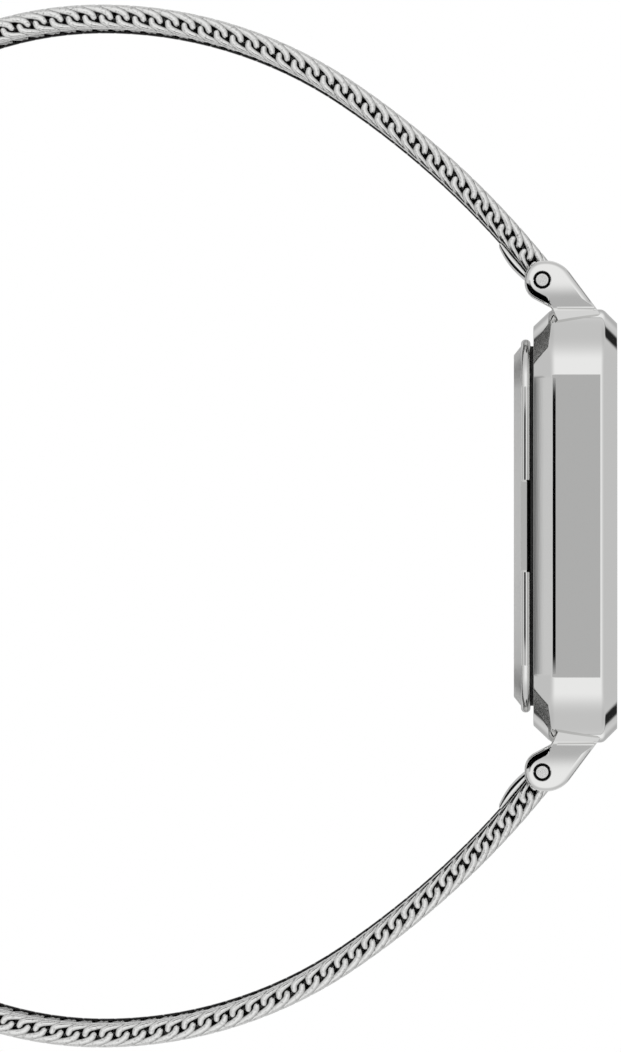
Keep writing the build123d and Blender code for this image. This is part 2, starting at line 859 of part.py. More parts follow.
# Clasp, in heights measured outward from the lower mesh's middle line
upper_end = sum(upper_rows) * row_length
lower_end = sum(lower_rows) * row_length
tail = band_station(lower_end, lower_hidden_radius)
tail_y = -tail[0]
tail_z = tail[1]
tip_place = knuckle_place(upper_end, True, upper_hidden_radius)[0]
pivot_y = tip_place[0]
pivot_out = tail_z - tip_place[1]
channel_inner = mesh_crest + channel_gap
channel_outer = channel_inner + channel_wall
channel_half_inside = mesh_half + side_gap
channel_half = channel_half_inside + channel_wall
cover_half_inside = channel_half + side_gap
cover_half = cover_half_inside + cover_wall
channel_high = pivot_y - knuckle_radius - channel_end_gap
channel_low = channel_high - channel_length
hinge_y = channel_low - cover_hinge_gap
knuckle_half = cover_half - cover_knuckle_width - side_gap
lock_y = channel_low + lock_pin_inset
lock_out = -(channel_inner + lock_barrel_radius)
lock_half = channel_half_inside - lip_width - side_gap


def clasp_slab(points, left, right):
    # An outline in Y and outward height, carried along X
    return side_plate(outline_of([(y, tail_z - out) for y, out in points]), left, right)


def clasp_bar(radius, left, right, y, out):
    return cross_bar(radius, left, right, y, tail_z - out)


def build_clasp_channel():
    lip_inside = channel_half_inside - lip_width
    half = [
        (channel_half, channel_outer),
        (channel_half, -channel_outer),
        (lip_inside, -channel_outer),
        (lip_inside, -channel_inner),
        (channel_half_inside, -channel_inner),
        (channel_half_inside, channel_inner),
    ]
    other = [(-x, out) for x, out in half[::-1]]
    plane = Plane(origin=(0, channel_low, tail_z), x_dir=(1, 0, 0), z_dir=(0, 1, 0))
    body = extrude(plane * outline_of(half + other), amount=channel_length)
    web = [
        (hinge_y, channel_inner),
        (channel_low + channel_wall, channel_inner),
        (channel_low + channel_wall, channel_outer),
        (hinge_y, channel_outer),
    ]
    body += clasp_slab(web, -knuckle_half, knuckle_half)
    body += clasp_bar(cover_round, -knuckle_half, knuckle_half, hinge_y, pivot_out)
    for left in (-channel_half, channel_half_inside):
        body += clasp_bar(lock_ear_radius, left, left + channel_wall, lock_y, lock_out)
    body -= clasp_bar(cover_hinge_radius + running_gap, -cover_half, cover_half, hinge_y, pivot_out)
    return body - clasp_bar(lock_pin_radius, -cover_half, cover_half, lock_y, lock_out)


def build_clasp_cover():
    middle = (hinge_y + pivot_y) / 2
    outline = Pos(middle, tail_z - pivot_out) * SlotCenterToCenter(pivot_y - hinge_y, 2 * cover_round)
    body = side_plate(outline, -cover_half, cover_half)
    underside = pivot_out + cover_round - cover_plate_thickness
    plate_end = pivot_y - knuckle_radius - cover_end_gap
    start = hinge_y + cover_round + side_gap
    low = pivot_out - cover_round - overrun
    hollow = [(start, low), (plate_end, low), (plate_end, underside), (start, underside)]
    body -= clasp_slab(hollow, -cover_half_inside, cover_half_inside)
    top = pivot_out + cover_round + overrun
    beyond = pivot_y + cover_round + overrun
    mouth = [(plate_end, low), (beyond, low), (beyond, top), (plate_end, top)]
    body -= clasp_slab(mouth, -cover_half_inside, cover_half_inside)
    room = knuckle_half + side_gap
    behind = hinge_y - cover_round - overrun
    notch = [(behind, low), (start, low), (start, pivot_out), (behind, pivot_out)]
    body -= clasp_slab(notch, -room, room)
    body -= clasp_bar(cover_round + side_gap, -room, room, hinge_y, pivot_out)
    body -= clasp_bar(cover_hinge_radius, -cover_half - overrun, cover_half + overrun, hinge_y, pivot_out)
    end = cover_half + overrun
    return body - clasp_bar(ear_hole_radius, -end, end, pivot_y, pivot_out)


def build_lock_plate():
    end = lock_y + lock_length
    tip = end - lock_tip_length
    points = [
        (lock_y, -channel_inner),
        (end, -channel_inner),
        (end, -channel_outer - lock_tip_height),
        (tip, -channel_outer - lock_tip_height),
        (tip - lock_tip_height, -channel_outer),
        (lock_y, -channel_outer),
    ]
    plate = clasp_slab(points, -lock_half, lock_half)
    plate += clasp_bar(lock_barrel_radius, -lock_half, lock_half, lock_y, lock_out)
    return plate - clasp_bar(lock_pin_radius + running_gap, -cover_half, cover_half, lock_y, lock_out)


def build_case_pieces():
    case_outside = build_case_outside()
    save("case_frame", build_case_frame())
    save("crystal", build_crystal())
    save("crystal_gasket", build_crystal_gasket())
    save("caseback", build_caseback())
    save("caseback_gasket", build_caseback_gasket())
    right = build_upper_right_lug(case_outside)
    left = mirror(right, about=Plane.YZ)
    save("upper_right_lug", right)
    save("upper_left_lug", left)
    save("lower_right_lug", opposite(right))
    save("lower_left_lug", opposite(left))
    pin = build_upper_lug_pin()
    save("upper_lug_pin", pin)
    save("lower_lug_pin", opposite(pin))


def build_dial_pieces():
    save("rehaut_ring", build_rehaut_ring())
    save("dial_plate", build_dial_plate())
    save("hour_markers", build_hour_markers())
    minute_angle = 360 * shown_minute / 60
    hour_angle = (360 * shown_hour + minute_angle) / 12
    hour_sizes = (hour_hand_length, hour_hand_width, hour_boss_radius, hour_pipe_radius)
    minute_sizes = (minute_hand_length, minute_hand_width, minute_boss_radius, cannon_pipe_radius)
    save("hour_hand", build_hand(*hour_sizes, hour_hand_low, hour_angle))
    save("minute_hand", build_hand(*minute_sizes, minute_hand_low, minute_angle))


def build_movement_pieces():
    save("movement_ring", build_movement_ring())
    save("main_plate", build_main_plate())
    save("circuit_board", build_circuit_board())
    save("module_cover", build_module_cover())
    save("battery", build_battery())
    save("battery_clamp", build_battery_clamp())
    save("cannon_pinion", build_cannon_pinion())
    save("motion_wheel", build_motion_wheel())
    save("hour_wheel", build_hour_wheel())


def build_crown_pieces():
    save("crown", build_crown())
    save("winding_stem", build_winding_stem())
    save("crown_gasket", build_crown_gasket())
    save("crown_tube", build_crown_tube())
    save("clutch_pinion", build_clutch_pinion())


def build_bracelet_pieces():
    link_half = lug_inner_x - knuckle_side_gap
    link = build_knuckle(0, False, upper_hidden_radius, link_half, pin_radius + running_gap)
    save("upper_end_link", link)
    save("lower_end_link", opposite(link))
    seat = cross_bar(knuckle_radius, -lug_outer_x, lug_outer_x, pin_y, pin_height)
    tip_seat = cross_bar(knuckle_radius, -lug_outer_x, lug_outer_x, tip_place[0], tip_place[1])
    row = 0
    for index, rows in enumerate(upper_rows):
        last = index + 1 == len(upper_rows)
        mesh = build_mesh(row, row + rows, index > 0, not last, upper_hidden_radius)
        if index == 0:
            mesh -= seat
        if last:
            mesh -= tip_seat
        save("upper_mesh_" + str(index + 1), mesh)
        row += rows
    row = 0
    for index, rows in enumerate(lower_rows):
        last = index + 1 == len(lower_rows)
        mesh = build_mesh(row, row + rows, index > 0, not last, lower_hidden_radius)
        if index == 0:
            mesh -= seat
        save("lower_mesh_" + str(index + 1), opposite(mesh))
        row += rows


def build_clasp_pieces():
    tube_half = cover_half_inside - knuckle_side_gap
    bar_bore = bar_radius + running_gap
    save("upper_tip_tube", build_knuckle(upper_end, True, upper_hidden_radius, tube_half, bar_bore))
    save("clasp_spring_bar", clasp_bar(bar_radius, -tube_half, tube_half, pivot_y, pivot_out))
    save("clasp_channel", build_clasp_channel())
    save("clasp_cover", build_clasp_cover())
    save("cover_hinge_pin", clasp_bar(cover_hinge_radius, -cover_half, cover_half, hinge_y, pivot_out))
    save("lock_plate", build_lock_plate())
    save("lock_pin", clasp_bar(lock_pin_radius, -channel_half, channel_half, lock_y, lock_out))


os.makedirs("parts", exist_ok=True)
build_case_pieces()
build_dial_pieces()
build_movement_pieces()
build_crown_pieces()
build_bracelet_pieces()
build_clasp_pieces()
print("Tail end at y", round(tail_y, 3), "z", round(tail_z, 3))
print("Clasp pivot at y", round(pivot_y, 3), "outward", round(pivot_out, 3))
print("Cover hinge at y", round(hinge_y, 3))
print("Lock hinge at y", round(lock_y, 3), "outward", round(lock_out, 3))
print("Rows", upper_rows, lower_rows)
print("Hidden radii", round(upper_hidden_radius, 3), round(lower_hidden_radius, 3))
halves = (("upper", upper_rows, upper_hidden_radius), ("lower", lower_rows, lower_hidden_radius))
for label, counts, radius in halves:
    row = 0
    for rows in counts[:-1]:
        row += rows
        station = band_station(row * row_length, radius)
        print(label, "mesh joint at y", round(station[0], 3), "z", round(station[1], 3))
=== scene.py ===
"""A square wristwatch on a woven steel mesh bracelet.

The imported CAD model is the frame. The pieces made here stand where its nodes are, in metres:
+Z points out of the dial, +Y to 12 o'clock and +X to the crown.
"""
import json
import math

import bmesh
import bpy
import numpy as np
from mathutils import Matrix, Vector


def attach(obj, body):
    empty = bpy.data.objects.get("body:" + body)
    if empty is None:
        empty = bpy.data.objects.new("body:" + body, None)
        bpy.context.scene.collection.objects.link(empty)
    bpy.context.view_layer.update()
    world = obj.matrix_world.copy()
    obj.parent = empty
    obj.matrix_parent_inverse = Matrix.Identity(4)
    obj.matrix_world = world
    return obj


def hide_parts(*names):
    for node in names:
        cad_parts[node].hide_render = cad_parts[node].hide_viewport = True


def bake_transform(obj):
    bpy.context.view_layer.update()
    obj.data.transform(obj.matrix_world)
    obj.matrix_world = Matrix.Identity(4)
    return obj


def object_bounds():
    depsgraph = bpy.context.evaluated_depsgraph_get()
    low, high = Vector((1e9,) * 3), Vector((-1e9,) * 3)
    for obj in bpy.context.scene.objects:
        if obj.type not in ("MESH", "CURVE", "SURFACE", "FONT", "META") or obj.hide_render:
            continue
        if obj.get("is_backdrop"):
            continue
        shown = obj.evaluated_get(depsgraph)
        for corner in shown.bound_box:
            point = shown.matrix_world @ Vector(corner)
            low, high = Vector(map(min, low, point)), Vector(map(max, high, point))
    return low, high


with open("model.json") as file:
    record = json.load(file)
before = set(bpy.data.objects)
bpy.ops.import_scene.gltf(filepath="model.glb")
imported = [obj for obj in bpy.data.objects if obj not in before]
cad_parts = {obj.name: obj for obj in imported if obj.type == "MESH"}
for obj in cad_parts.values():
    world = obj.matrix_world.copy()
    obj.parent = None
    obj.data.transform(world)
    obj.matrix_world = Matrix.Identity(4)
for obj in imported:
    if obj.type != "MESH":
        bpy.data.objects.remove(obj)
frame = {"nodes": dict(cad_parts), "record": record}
CAD_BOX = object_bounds()

bl_info = {
    "name": "Square wristwatch",
    "version": (1, 0, 0),
    "blender": (4, 5, 0),
    "location": "3D View > Sidebar > Watch",
    "description": "Dresses a square wristwatch and its woven mesh bracelet",
    "category": "Object",
}

MM = 0.001
# Points closer than this are one point
MERGE = 1e-7
# Edges sharper than this stay sharp
SHARP = math.radians(35)
# Width of the camera's sensor in millimetres
SENSOR = 36


def linear(colour):
    """Linear RGBA of an sRGB hex colour: each share c becomes c / 12.92 up to 0.04045, and
    ((c + 0.055) / 1.055) ** 2.4 above it."""
    shares = np.array([int(colour[place:place + 2], 16) for place in (1, 3, 5)]) / 255
    curved = ((shares + 0.055) / 1.055) ** 2.4
    return (*np.where(shares <= 0.04045, shares / 12.92, curved).tolist(), 1.0)


def size(name, millimetres, text):
    """A length property whose default is given in millimetres."""
    return bpy.props.FloatProperty(
        name=name, description=text, default=millimetres * MM, unit="LENGTH", precision=5
    )


def angle(name, degrees, text):
    """An angle property whose default is given in degrees."""
    return bpy.props.FloatProperty(
        name=name, description=text, default=math.radians(degrees), subtype="ANGLE"
    )


def number(name, count, text):
    """A whole-number property."""
    return bpy.props.IntProperty(name=name, description=text, default=count, min=1)


def ratio(name, value, text):
    """A property that is a share of something else."""
    return bpy.props.FloatProperty(name=name, description=text, default=value, min=0, max=1)


def paint(name, colour, text):
    """A colour property whose default is given in sRGB hex."""
    return bpy.props.FloatVectorProperty(
        name=name, description=text, default=linear(colour), size=4, subtype="COLOR", min=0, max=1
    )


class CaseSizes(bpy.types.PropertyGroup):
    """Sizes of the case and its back"""

    width: size("Width", 26.0, "Width of the square case")
    corner: size("Corner", 4.14, "Radius of the case's corners")
    back: size("Back", 1.18, "Height of the case's back face")
    side_back: size("Side start", 2.26, "Height at which the flat side starts")
    side_front: size("Side end", 5.36, "Height at which the flat side ends")
    front: size("Front", 6.20, "Height of the case's front face")
    back_inset: size("Back bevel", 1.02, "Width of the back bevel")
    front_inset: size("Front bevel", 0.84, "Width of the front bevel")
    back_round: size("Back rounding", 0.70, "Rounding between the side and the back bevel")
    front_round: size("Front rounding", 0.45, "Rounding between the side and the front bevel")
    edge_round: size("Edge", 0.07, "Rounding of the sharp edges")
    wall: size("Wall", 2.65, "Wall between the case's side and its bore")
    bore_corner: size("Bore corner", 2.6, "Radius of the bore's corners")
    ledge_back: size("Ledge back", 4.95, "Height of the back of the crystal's ledge")
    crystal_back: size("Crystal back", 5.35, "Height of the crystal's back")
    crystal_half: size("Crystal half", 10.7, "Half of the crystal's width")
    crystal_corner: size("Crystal corner", 2.3, "Radius of the crystal's corners")
    ledge: size("Ledge", 0.60, "Width of the ledge under the crystal")
    gasket: size("Gasket", 0.25, "Room for the gasket round the crystal")
    plate_half: size("Plate half", 10.8, "Half width of the back plate at the bead")
    plate_bevel: size("Plate bevel", 0.55, "Width of the bevel round the back plate")
    plate_height: size("Plate height", 0.43, "Height of the back plate")
    bead_half: size("Bead half", 11.2, "Half width of the bead")
    bead_corner: size("Bead corner", 3.0, "Radius of the bead's corners")
    bead_top: size("Bead top", 1.00, "Height of the bead's top")
    bead_round: size("Bead rounding", 0.26, "Rounding of the bead")
    rim_top: size("Rim top", 2.20, "Height of the snap rim")
    rim_wall: size("Rim wall", 0.65, "Wall of the snap rim")
    floor: size("Floor", 0.60, "Height of the inside floor of the back")
    pry_half: size("Pry half", 2.65, "Half length of the flat for the case knife")
    pry_depth: size("Pry depth", 0.30, "Depth of the flat for the case knife")
    notch_height: size("Notch height", 0.78, "Height of the bead along the flat")
    notch_reach: size("Notch reach", 10.4, "Distance from the middle at which the notch ends")
    pry_slope: size("Pry slope", 0.12, "Length over which the flat ends")
    snap_gap: size("Snap gap", 0.02, "Gap between the snap rim and the bore")
    corner_steps: number("Corner steps", 22, "Facets in each corner")


class LugSizes(bpy.types.PropertyGroup):
    """Sizes of the lugs and their pins"""

    outer: size("Outer face", 10.0, "Distance of the lug's outer face from the middle")
    thickness: size("Thickness", 1.6, "Thickness of a lug")
    round: size("Round", 1.15, "Radius of the lug's end")
    shoulder: size("Shoulder", 1.80, "Radius of the lug's shoulder")
    blend: angle("Blend", 100.0, "Where the end's arc meets the shoulder's")
    slope: angle("Slope", 36.7, "Slope of the lug's back")
    belly: angle("Belly", 242.0, "Where the end's arc meets the belly")
    hole_offset: size("Hole offset", 0.10, "Height of the end's centre over the pin's")
    pin_y: size("Pin distance", 14.77, "Distance of the pin from the middle")
    pin_z: size("Pin height", 1.70, "Height of the pin")
    pin_radius: size("Pin radius", 0.50, "Radius of the pin")
    pin_end: size("Pin end", 0.375, "Radius of the flat on the pin's end")
    pin_neck: size("Pin neck", 0.45, "Depth to which the pin's end is narrowed")
    pin_recess: size("Pin recess", 0.04, "Depth of the pin's end in the lug")
    hole_gap: size("Hole gap", 0.03, "Gap between the pin and its hole")
    edge: size("Edge", 0.34, "Rounding of the lug's outer edge")
    inner_edge: size("Inner edge", 0.08, "Rounding of the lug's inner edge")
    foot_edge: size("Foot edge", 0.03, "Rounding of the lug's edges in the case")
    foot_rise: size("Foot rise", 0.50, "Rise of the foot's back edge inside the case")
    foot_run: size("Foot run", 0.4, "Run over which the foot's edges grow to the lug's")
    hole_rim: size("Hole rim", 0.03, "Width of the rim round the hole and the pin's end")
    foot_sink: size("Foot sink", 0.9, "Depth of the foot in the case")
    flare_top: size("Flare top", 13.11, "Distance at which the foot's flare starts")
    flare_end: size("Flare end", 12.92, "Distance at which the foot's flare ends")
    spread_back: size("Spread back", 1.20, "Spread of the foot at its back")
    spread_front: size("Spread front", 0.28, "Spread of the foot at its front")


class BandSizes(bpy.types.PropertyGroup):
    """Sizes of the woven bracelet"""

    half: size("Half width", 8.0, "Half of the mesh's width")
    row: size("Row", 1.0, "Distance from one row of the weave to the next")
    start_angle: angle("Start", 39.05, "Direction in which the mesh leaves the lug")
    near_radius: size("Near radius", 52.4, "Radius of the first bend")
    near_angle: angle("Near turn", 16.95, "Turn of the first bend")
    shoulder_radius: size("Shoulder radius", 26.4, "Radius of the second bend")
    shoulder_angle: angle("Shoulder turn", 34.0, "Turn of the second bend")
    bend_radius: size("Bend radius", 22.2, "Radius of the third bend")
    bend_angle: angle("Bend turn", 16.0, "Turn of the third bend")
    upper_hidden: size("Upper radius", 20.296, "Radius of the upper half's last bend")
    lower_hidden: size("Lower radius", 17.494, "Radius of the lower half's last bend")
    knuckle: size("Knuckle", 0.95, "Radius of the end links' barrels")
    knuckle_offset: size("Knuckle offset", 0.28, "Height of the mesh's middle over the pin")
    knuckle_half: size("Knuckle half", 8.25, "Half length of an end link's barrel")
    tongue: size("Tongue", 2.4, "Length of an end link's tongue")
    tongue_inner: size("Tongue inner", 0.47, "Depth of the mesh's wrist side at the tongue")
    tongue_gap: size("Tongue gap", 0.03, "Gap between the tongue and the mesh")
    tongue_tip: size("Tongue tip", 0.20, "Thickness of the tongue at its tip")
    tongue_bulge: size("Tongue bulge", 0.19, "Thickness added by the tongue's bulge")
    tongue_round: size("Tongue round", 0.11, "Rounding of the tongue's sides")
    tongue_root: size("Tongue root", 0.09, "Rise of the tongue's inner line into the barrel")
    wire: size("Wire", 0.215, "Radius of the woven wire")
    turn: size("Turn", 0.97, "Width of one turn of a coil")
    coil_half: size("Coil half", 1.43, "Half length of a coil's flattened turn")
    coil_legs: size("Coil legs", 0.10, "Half distance between a coil's legs")
    coil_tilt: angle("Coil tilt", 17.5, "Tilt of a coil to the bracelet")
    coil_shift: size("Coil shift", -0.20, "Place of a coil along its row")
    coil_reach: size("Coil reach", 7.3, "Half width over which the coils run")
    stroke: size("Stroke", 0.245, "Half width of the ground wire ends at the edges")
    stroke_dive: size("Stroke dive", 0.16, "Depth to which a stroke's tail sinks under the next")
    stroke_depth: size("Stroke depth", 0.40, "Half depth of the ground wire ends")
    skin: size("Skin", 0.74, "Distance of the weave's faces from its middle")
    first_row: size("First row", 0.62, "Place of the first row's stroke")


class CrownSizes(bpy.types.PropertyGroup):
    """Sizes of the crown"""

    start: size("Start", 13.22, "Distance of the crown's inner face from the middle")
    length: size("Length", 1.90, "Length of the crown")
    radius: size("Radius", 1.40, "Radius of the crown")
    flute: size("Flute", 0.09, "Depth of the flutes")
    flutes: number("Flutes", 20, "Number of flutes")
    height: size("Height", 3.05, "Height of the crown's middle")
    recess: size("Recess", 0.96, "Radius of the recess for the tube")
    recess_depth: size("Recess depth", 1.15, "Depth of the recess")
    recess_edge: size("Recess edge", 0.05, "Rounding of the recess's mouth")
    inner_edge: size("Inner edge", 0.12, "Rounding of the crown's inner edge")
    outer_edge: size("Outer edge", 0.3, "Rounding of the crown's outer edge")
    inner_fade: size("Inner fade", 0.15, "Length over which the flutes start at the inner face")
    fade: size("Fade", 0.2, "Length over which the flutes run out")


class DialSizes(bpy.types.PropertyGroup):
    """Sizes of the dial and its markers"""

    front: size("Dial", 3.95, "Height of the dial's front")
    limit: size("Marker line", 8.45, "Distance of the square line on which markers end")
    marker_length: size("Marker length", 1.9, "Length of a marker")
    marker_width: size("Marker width", 0.34, "Width of a marker")
    marker_height: size("Marker height", 0.16, "Height of a marker")
    marker_end: size("Marker end", 0.08, "Length of the slope at a marker's ends")
    shoulder: ratio("Shoulder", 0.45, "Height of a marker's shoulder against its ridge")
    corner: size("Corner", 2.6, "Reach added for the corner markers")


class HandSizes(bpy.types.PropertyGroup):
    """Sizes of the hands"""

    thickness: size("Thickness", 0.15, "Thickness of a hand")
    tip: ratio("Tip", 0.55, "Width of a hand at its tip against its tail")
    end: ratio("End", 0.7, "Width of a hand's ends against the width beside them")
    ridge: ratio("Ridge", 0.12, "Width of the flat along the ridge against the hand's")
    edge: size("Edge", 0.04, "Length of the slope at a hand's ends")
    tail: size("Tail", 1.5, "Length of a hand's tail")
    hour_length: size("Hour length", 5.4, "Length of the hour hand")
    hour_width: size("Hour width", 0.85, "Width of the hour hand")
    hour_boss: size("Hour boss", 0.85, "Radius of the hour hand's boss")
    hour_bore: size("Hour bore", 0.50, "Radius of the hour hand's hole")
    hour_low: size("Hour height", 4.20, "Height of the hour hand")
    hour_angle: angle("Hour angle", 305, "Direction of the hour hand, from 12 o'clock")
    minute_length: size("Minute length", 8.1, "Length of the minute hand")
    minute_width: size("Minute width", 0.65, "Width of the minute hand")
    minute_boss: size("Minute boss", 0.68, "Radius of the minute hand's boss")
    minute_bore: size("Minute bore", 0.32, "Radius of the minute hand's hole")
    minute_low: size("Minute height", 4.55, "Height of the minute hand")
    minute_angle: angle("Minute angle", 60, "Direction of the minute hand, from 12 o'clock")


class Finishes(bpy.types.PropertyGroup):
    """Colours of the finishes"""

    steel: paint("Steel", "#e7e7e6", "Polished stainless steel")
    # Painted shade: the colour that steel deep in the weave and on the sides of the ground ends is drawn
    # towards
    recess: paint("Recess", "#141414", "Steel deep inside the weave")
    # Painted shade: black given to the steel in the narrow gap round each pin
    shadow: paint("Shadow", "#050505", "Steel in a narrow gap")
    dial: paint("Dial", "#1b1d20", "Lacquered dial")
    rubber: paint("Rubber", "#151515", "Seal rubber")
    brass: paint("Brass", "#c9a55c", "Movement brass")
    board: paint("Board", "#1f4a33", "Circuit board")
    plastic: paint("Plastic", "#d9d9d2", "Spacer plastic")
    floor: paint("Floor", "#f2f2f2", "Studio floor")


# Meshes
def grid_quads(rows, columns, round_rows, round_columns):
    """Corners of the quads between a grid's points, numbered row by row. A direction that
    goes round is joined from its last line to its first."""
    low, left = np.meshgrid(
        np.arange(rows if round_rows else rows - 1),
        np.arange(columns if round_columns else columns - 1),
        indexing="ij",
    )
    high = (low + 1) % rows
    right = (left + 1) % columns
    corners = [low * columns + left, low * columns + right, high * columns + right, high * columns + left]
    return np.stack(corners, axis=-1).reshape(-1, 4)


def join_grids(grids):
    """Points and quads of several grids, each given as points, round rows, round columns."""
    points = []
    quads = []
    start = 0
    for grid, round_rows, round_columns in grids:
        rows, columns = grid.shape[:2]
        quads.append(grid_quads(rows, columns, round_rows, round_columns) + start)
        points.append(grid.reshape(-1, 3))
        start += rows * columns
    return np.concatenate(points), np.concatenate(quads)


def make_mesh(name, points, quads, recess=None):
    """A mesh of these points and quads with its doubles merged and its faces outwards. A painted shade for
    each point, given as recess, becomes an attribute of that name."""
    mesh = bpy.data.meshes.new(name)
    mesh.vertices.add(len(points))
    mesh.vertices.foreach_set("co", np.ascontiguousarray(points, np.float32).ravel())
    mesh.loops.add(quads.size)
    mesh.loops.foreach_set("vertex_index", np.ascontiguousarray(quads, np.int32).ravel())
    mesh.polygons.add(len(quads))
    mesh.polygons.foreach_set("loop_start", np.arange(0, quads.size, 4, dtype=np.int32))
    mesh.update(calc_edges=True)
    if recess is not None:
        attribute = mesh.attributes.new("recess", "FLOAT", "POINT")
        attribute.data.foreach_set("value", np.ascontiguousarray(recess, np.float32))
    work = bmesh.new()
    work.from_mesh(mesh)
    bmesh.ops.remove_doubles(work, verts=work.verts, dist=MERGE)
    bmesh.ops.recalc_face_normals(work, faces=work.faces)
    work.to_mesh(mesh)
    work.free()
    mesh.polygons.foreach_set("use_smooth", np.ones(len(mesh.polygons), bool))
    mesh.update()
    return mesh


def add_object(name, mesh, material):
    """An object of this mesh and material, in the scene."""
    thing = bpy.data.objects.new(name, mesh)
    bpy.context.scene.collection.objects.link(thing)
    mesh.materials.append(material)
    return thing


def add_piece(name, grids, slot, weighted=True):
    """An object of these grids in the finish of its slot. Weighted normals keep its flat
    faces flat beside its rounded edges."""
    piece = add_object(name, make_mesh(name, *join_grids(grids)), slot_material(slot))
    piece.data.set_sharp_from_angle(angle=SHARP)
    if weighted:
        normals = piece.modifiers.new("Flat faces", "WEIGHTED_NORMAL")
        normals.weight = 100
        normals.keep_sharp = True
    return piece


def face_centres(mesh):
    """The middles of a mesh's faces, one row for each."""
    centres = np.empty(len(mesh.polygons) * 3)
    mesh.polygons.foreach_get("center", centres)
    return centres.reshape(-1, 3)


def rise(value, start, run):
    """From 0 at start to 1 a run further, in a straight line: (value - start) / run, held
    between 0 and 1."""
    return np.clip((value - start) / run, 0, 1)


def fillet(corners, radii, steps):
    """A closed outline with its corners rounded. An arc starts radius / tan(half angle) from
    its corner and turns about a centre radius / sin(half angle) along the bisector."""
    corners = np.asarray(corners, float)
    parts = []
    for place, radius in enumerate(radii):
        here = corners[place]
        if radius <= 0:
            parts.append(here[None])
            continue
        back = corners[place - 1] - here
        ahead = corners[(place + 1) % len(corners)] - here
        back /= np.linalg.norm(back)
        ahead /= np.linalg.norm(ahead)
        half = math.acos(np.clip(back @ ahead, -1, 1)) / 2
        bisector = (back + ahead) / np.linalg.norm(back + ahead)
        centre = here + bisector * radius / math.sin(half)
        start = here + back * radius / math.tan(half) - centre
        end = here + ahead * radius / math.tan(half) - centre
        turn = math.pi - 2 * half
        share = np.linspace(0, 1, steps + 1)[:, None]
        arc = (np.sin((1 - share) * turn) * start + np.sin(share * turn) * end) / math.sin(turn)
        parts.append(centre + arc)
    return np.concatenate(parts)


def carry_round_square(half, straight, height, steps, stops=()):
    """Points of a profile carried round a square with round corners. Each profile point has
    a half width, a straight half length and a height. A corner's point is the straight
    half length on both axes plus (half - straight) x (cos, sin), and a side's points lie at
    the stops along it."""
    half, straight, height = np.broadcast_arrays(half, straight, height)
    along = np.linspace(0, math.pi / 2, steps + 1)
    columns = []
    for quarter in range(4):
        turned = along + quarter * math.pi / 2
        sign_x = 1 if quarter in (0, 3) else -1
        sign_y = 1 if quarter in (0, 1) else -1
        radius = (half - straight)[:, None]
        x = sign_x * straight[:, None] + radius * np.cos(turned)
        y = sign_y * straight[:, None] + radius * np.sin(turned)
        columns.append(np.stack([x, y], axis=-1))
        if len(stops):
            facing = (quarter + 1) * math.pi / 2
            out = np.array([math.cos(facing), math.sin(facing)])
            side = np.array([-math.sin(facing), math.cos(facing)])
            room = np.minimum(1, straight / max(stops))[:, None, None]
            stop = np.asarray(stops)[None, :, None] * room
            columns.append(half[:, None, None] * out + stop * side)
    flat = np.concatenate(columns, axis=1)
    z = np.broadcast_to(height[:, None, None], (*flat.shape[:2], 1))
    return np.concatenate([flat, z], axis=-1)


def revolve(profile, centre, steps):
    """Points of a profile of (x, radius) turned round a line along X through the centre."""
    turned = np.linspace(0, 2 * math.pi, steps, endpoint=False)
    x = np.repeat(profile[:, :1], steps, axis=1)
    y = centre[0] + profile[:, 1:] * np.cos(turned)
    z = centre[1] + profile[:, 1:] * np.sin(turned)
    return np.stack([x, y, z], axis=-1)


# Materials
def add_node(tree, kind, place=(0, 0), inputs=None, **settings):
    """A node with its settings and its inputs. An input is a value, the socket that feeds it
    or the node whose first output does."""
    node = tree.nodes.new(kind)
    node.location = place
    for name, value in settings.items():
        setattr(node, name, value)
    for name, value in (inputs or {}).items():
        if isinstance(value, bpy.types.Node):
            value = value.outputs[0]
        if isinstance(value, bpy.types.NodeSocket):
            tree.links.new(value, node.inputs[name])
        else:
            node.inputs[name].default_value = value
    return node


def new_material(name):
    """An empty material with its tree and the object's coordinates there."""
    material = bpy.data.materials.new(name)
    material.use_nodes = True
    tree = material.node_tree
    tree.nodes.clear()
    return material, tree, add_node(tree, "ShaderNodeTexCoord", (-900, 0)).outputs["Object"]


def noise_between(tree, vector, scale, low, high):
    """A value that noise moves between low and high."""
    noise = add_node(tree, "ShaderNodeTexNoise", (-700, 0), {"Vector": vector, "Scale": scale, "Detail": 3.0})
    inputs = {"Value": noise, "From Min": 0.3, "From Max": 0.7, "To Min": low, "To Max": high}
    return add_node(tree, "ShaderNodeMapRange", (-500, 0), inputs)


def streaks(tree, vector, scales):
    """Noise drawn out by its scales in X, Y and Z."""
    drawn = add_node(tree, "ShaderNodeMapping", (-800, -300), {"Vector": vector, "Scale": scales})
    return add_node(tree, "ShaderNodeTexNoise", (-600, -300), {"Vector": drawn, "Scale": 1.0})


def surface(tree, colour, metallic, roughness, height, strength, distance, more=None):
    """Ends a tree in a principled surface whose normal follows a height."""
    bump = {"Height": height, "Strength": strength, "Distance": distance}
    normal = add_node(tree, "ShaderNodeBump", (-200, -300), bump)
    inputs = {"Base Color": colour, "Metallic": metallic, "Roughness": roughness, "Normal": normal}
    inputs.update(more or {})
    shader = add_node(tree, "ShaderNodeBsdfPrincipled", (200, 0), inputs)
    add_node(tree, "ShaderNodeOutputMaterial", (600, 0), {"Surface": shader})


def polished_steel(colours):
    """316L stainless steel, buffed on a mop: a mirror with faint haze in patches a few
    millimetres wide and hairlines 0.05 mm apart that show only where light grazes."""
    material, tree, place = new_material("polished stainless steel")
    haze = noise_between(tree, place, 260, 0.025, 0.055)
    lines = streaks(tree, place, (20000, 700, 20000))
    surface(tree, colours.steel, 1.0, haze, lines, 0.012, 0.00002)
    return material


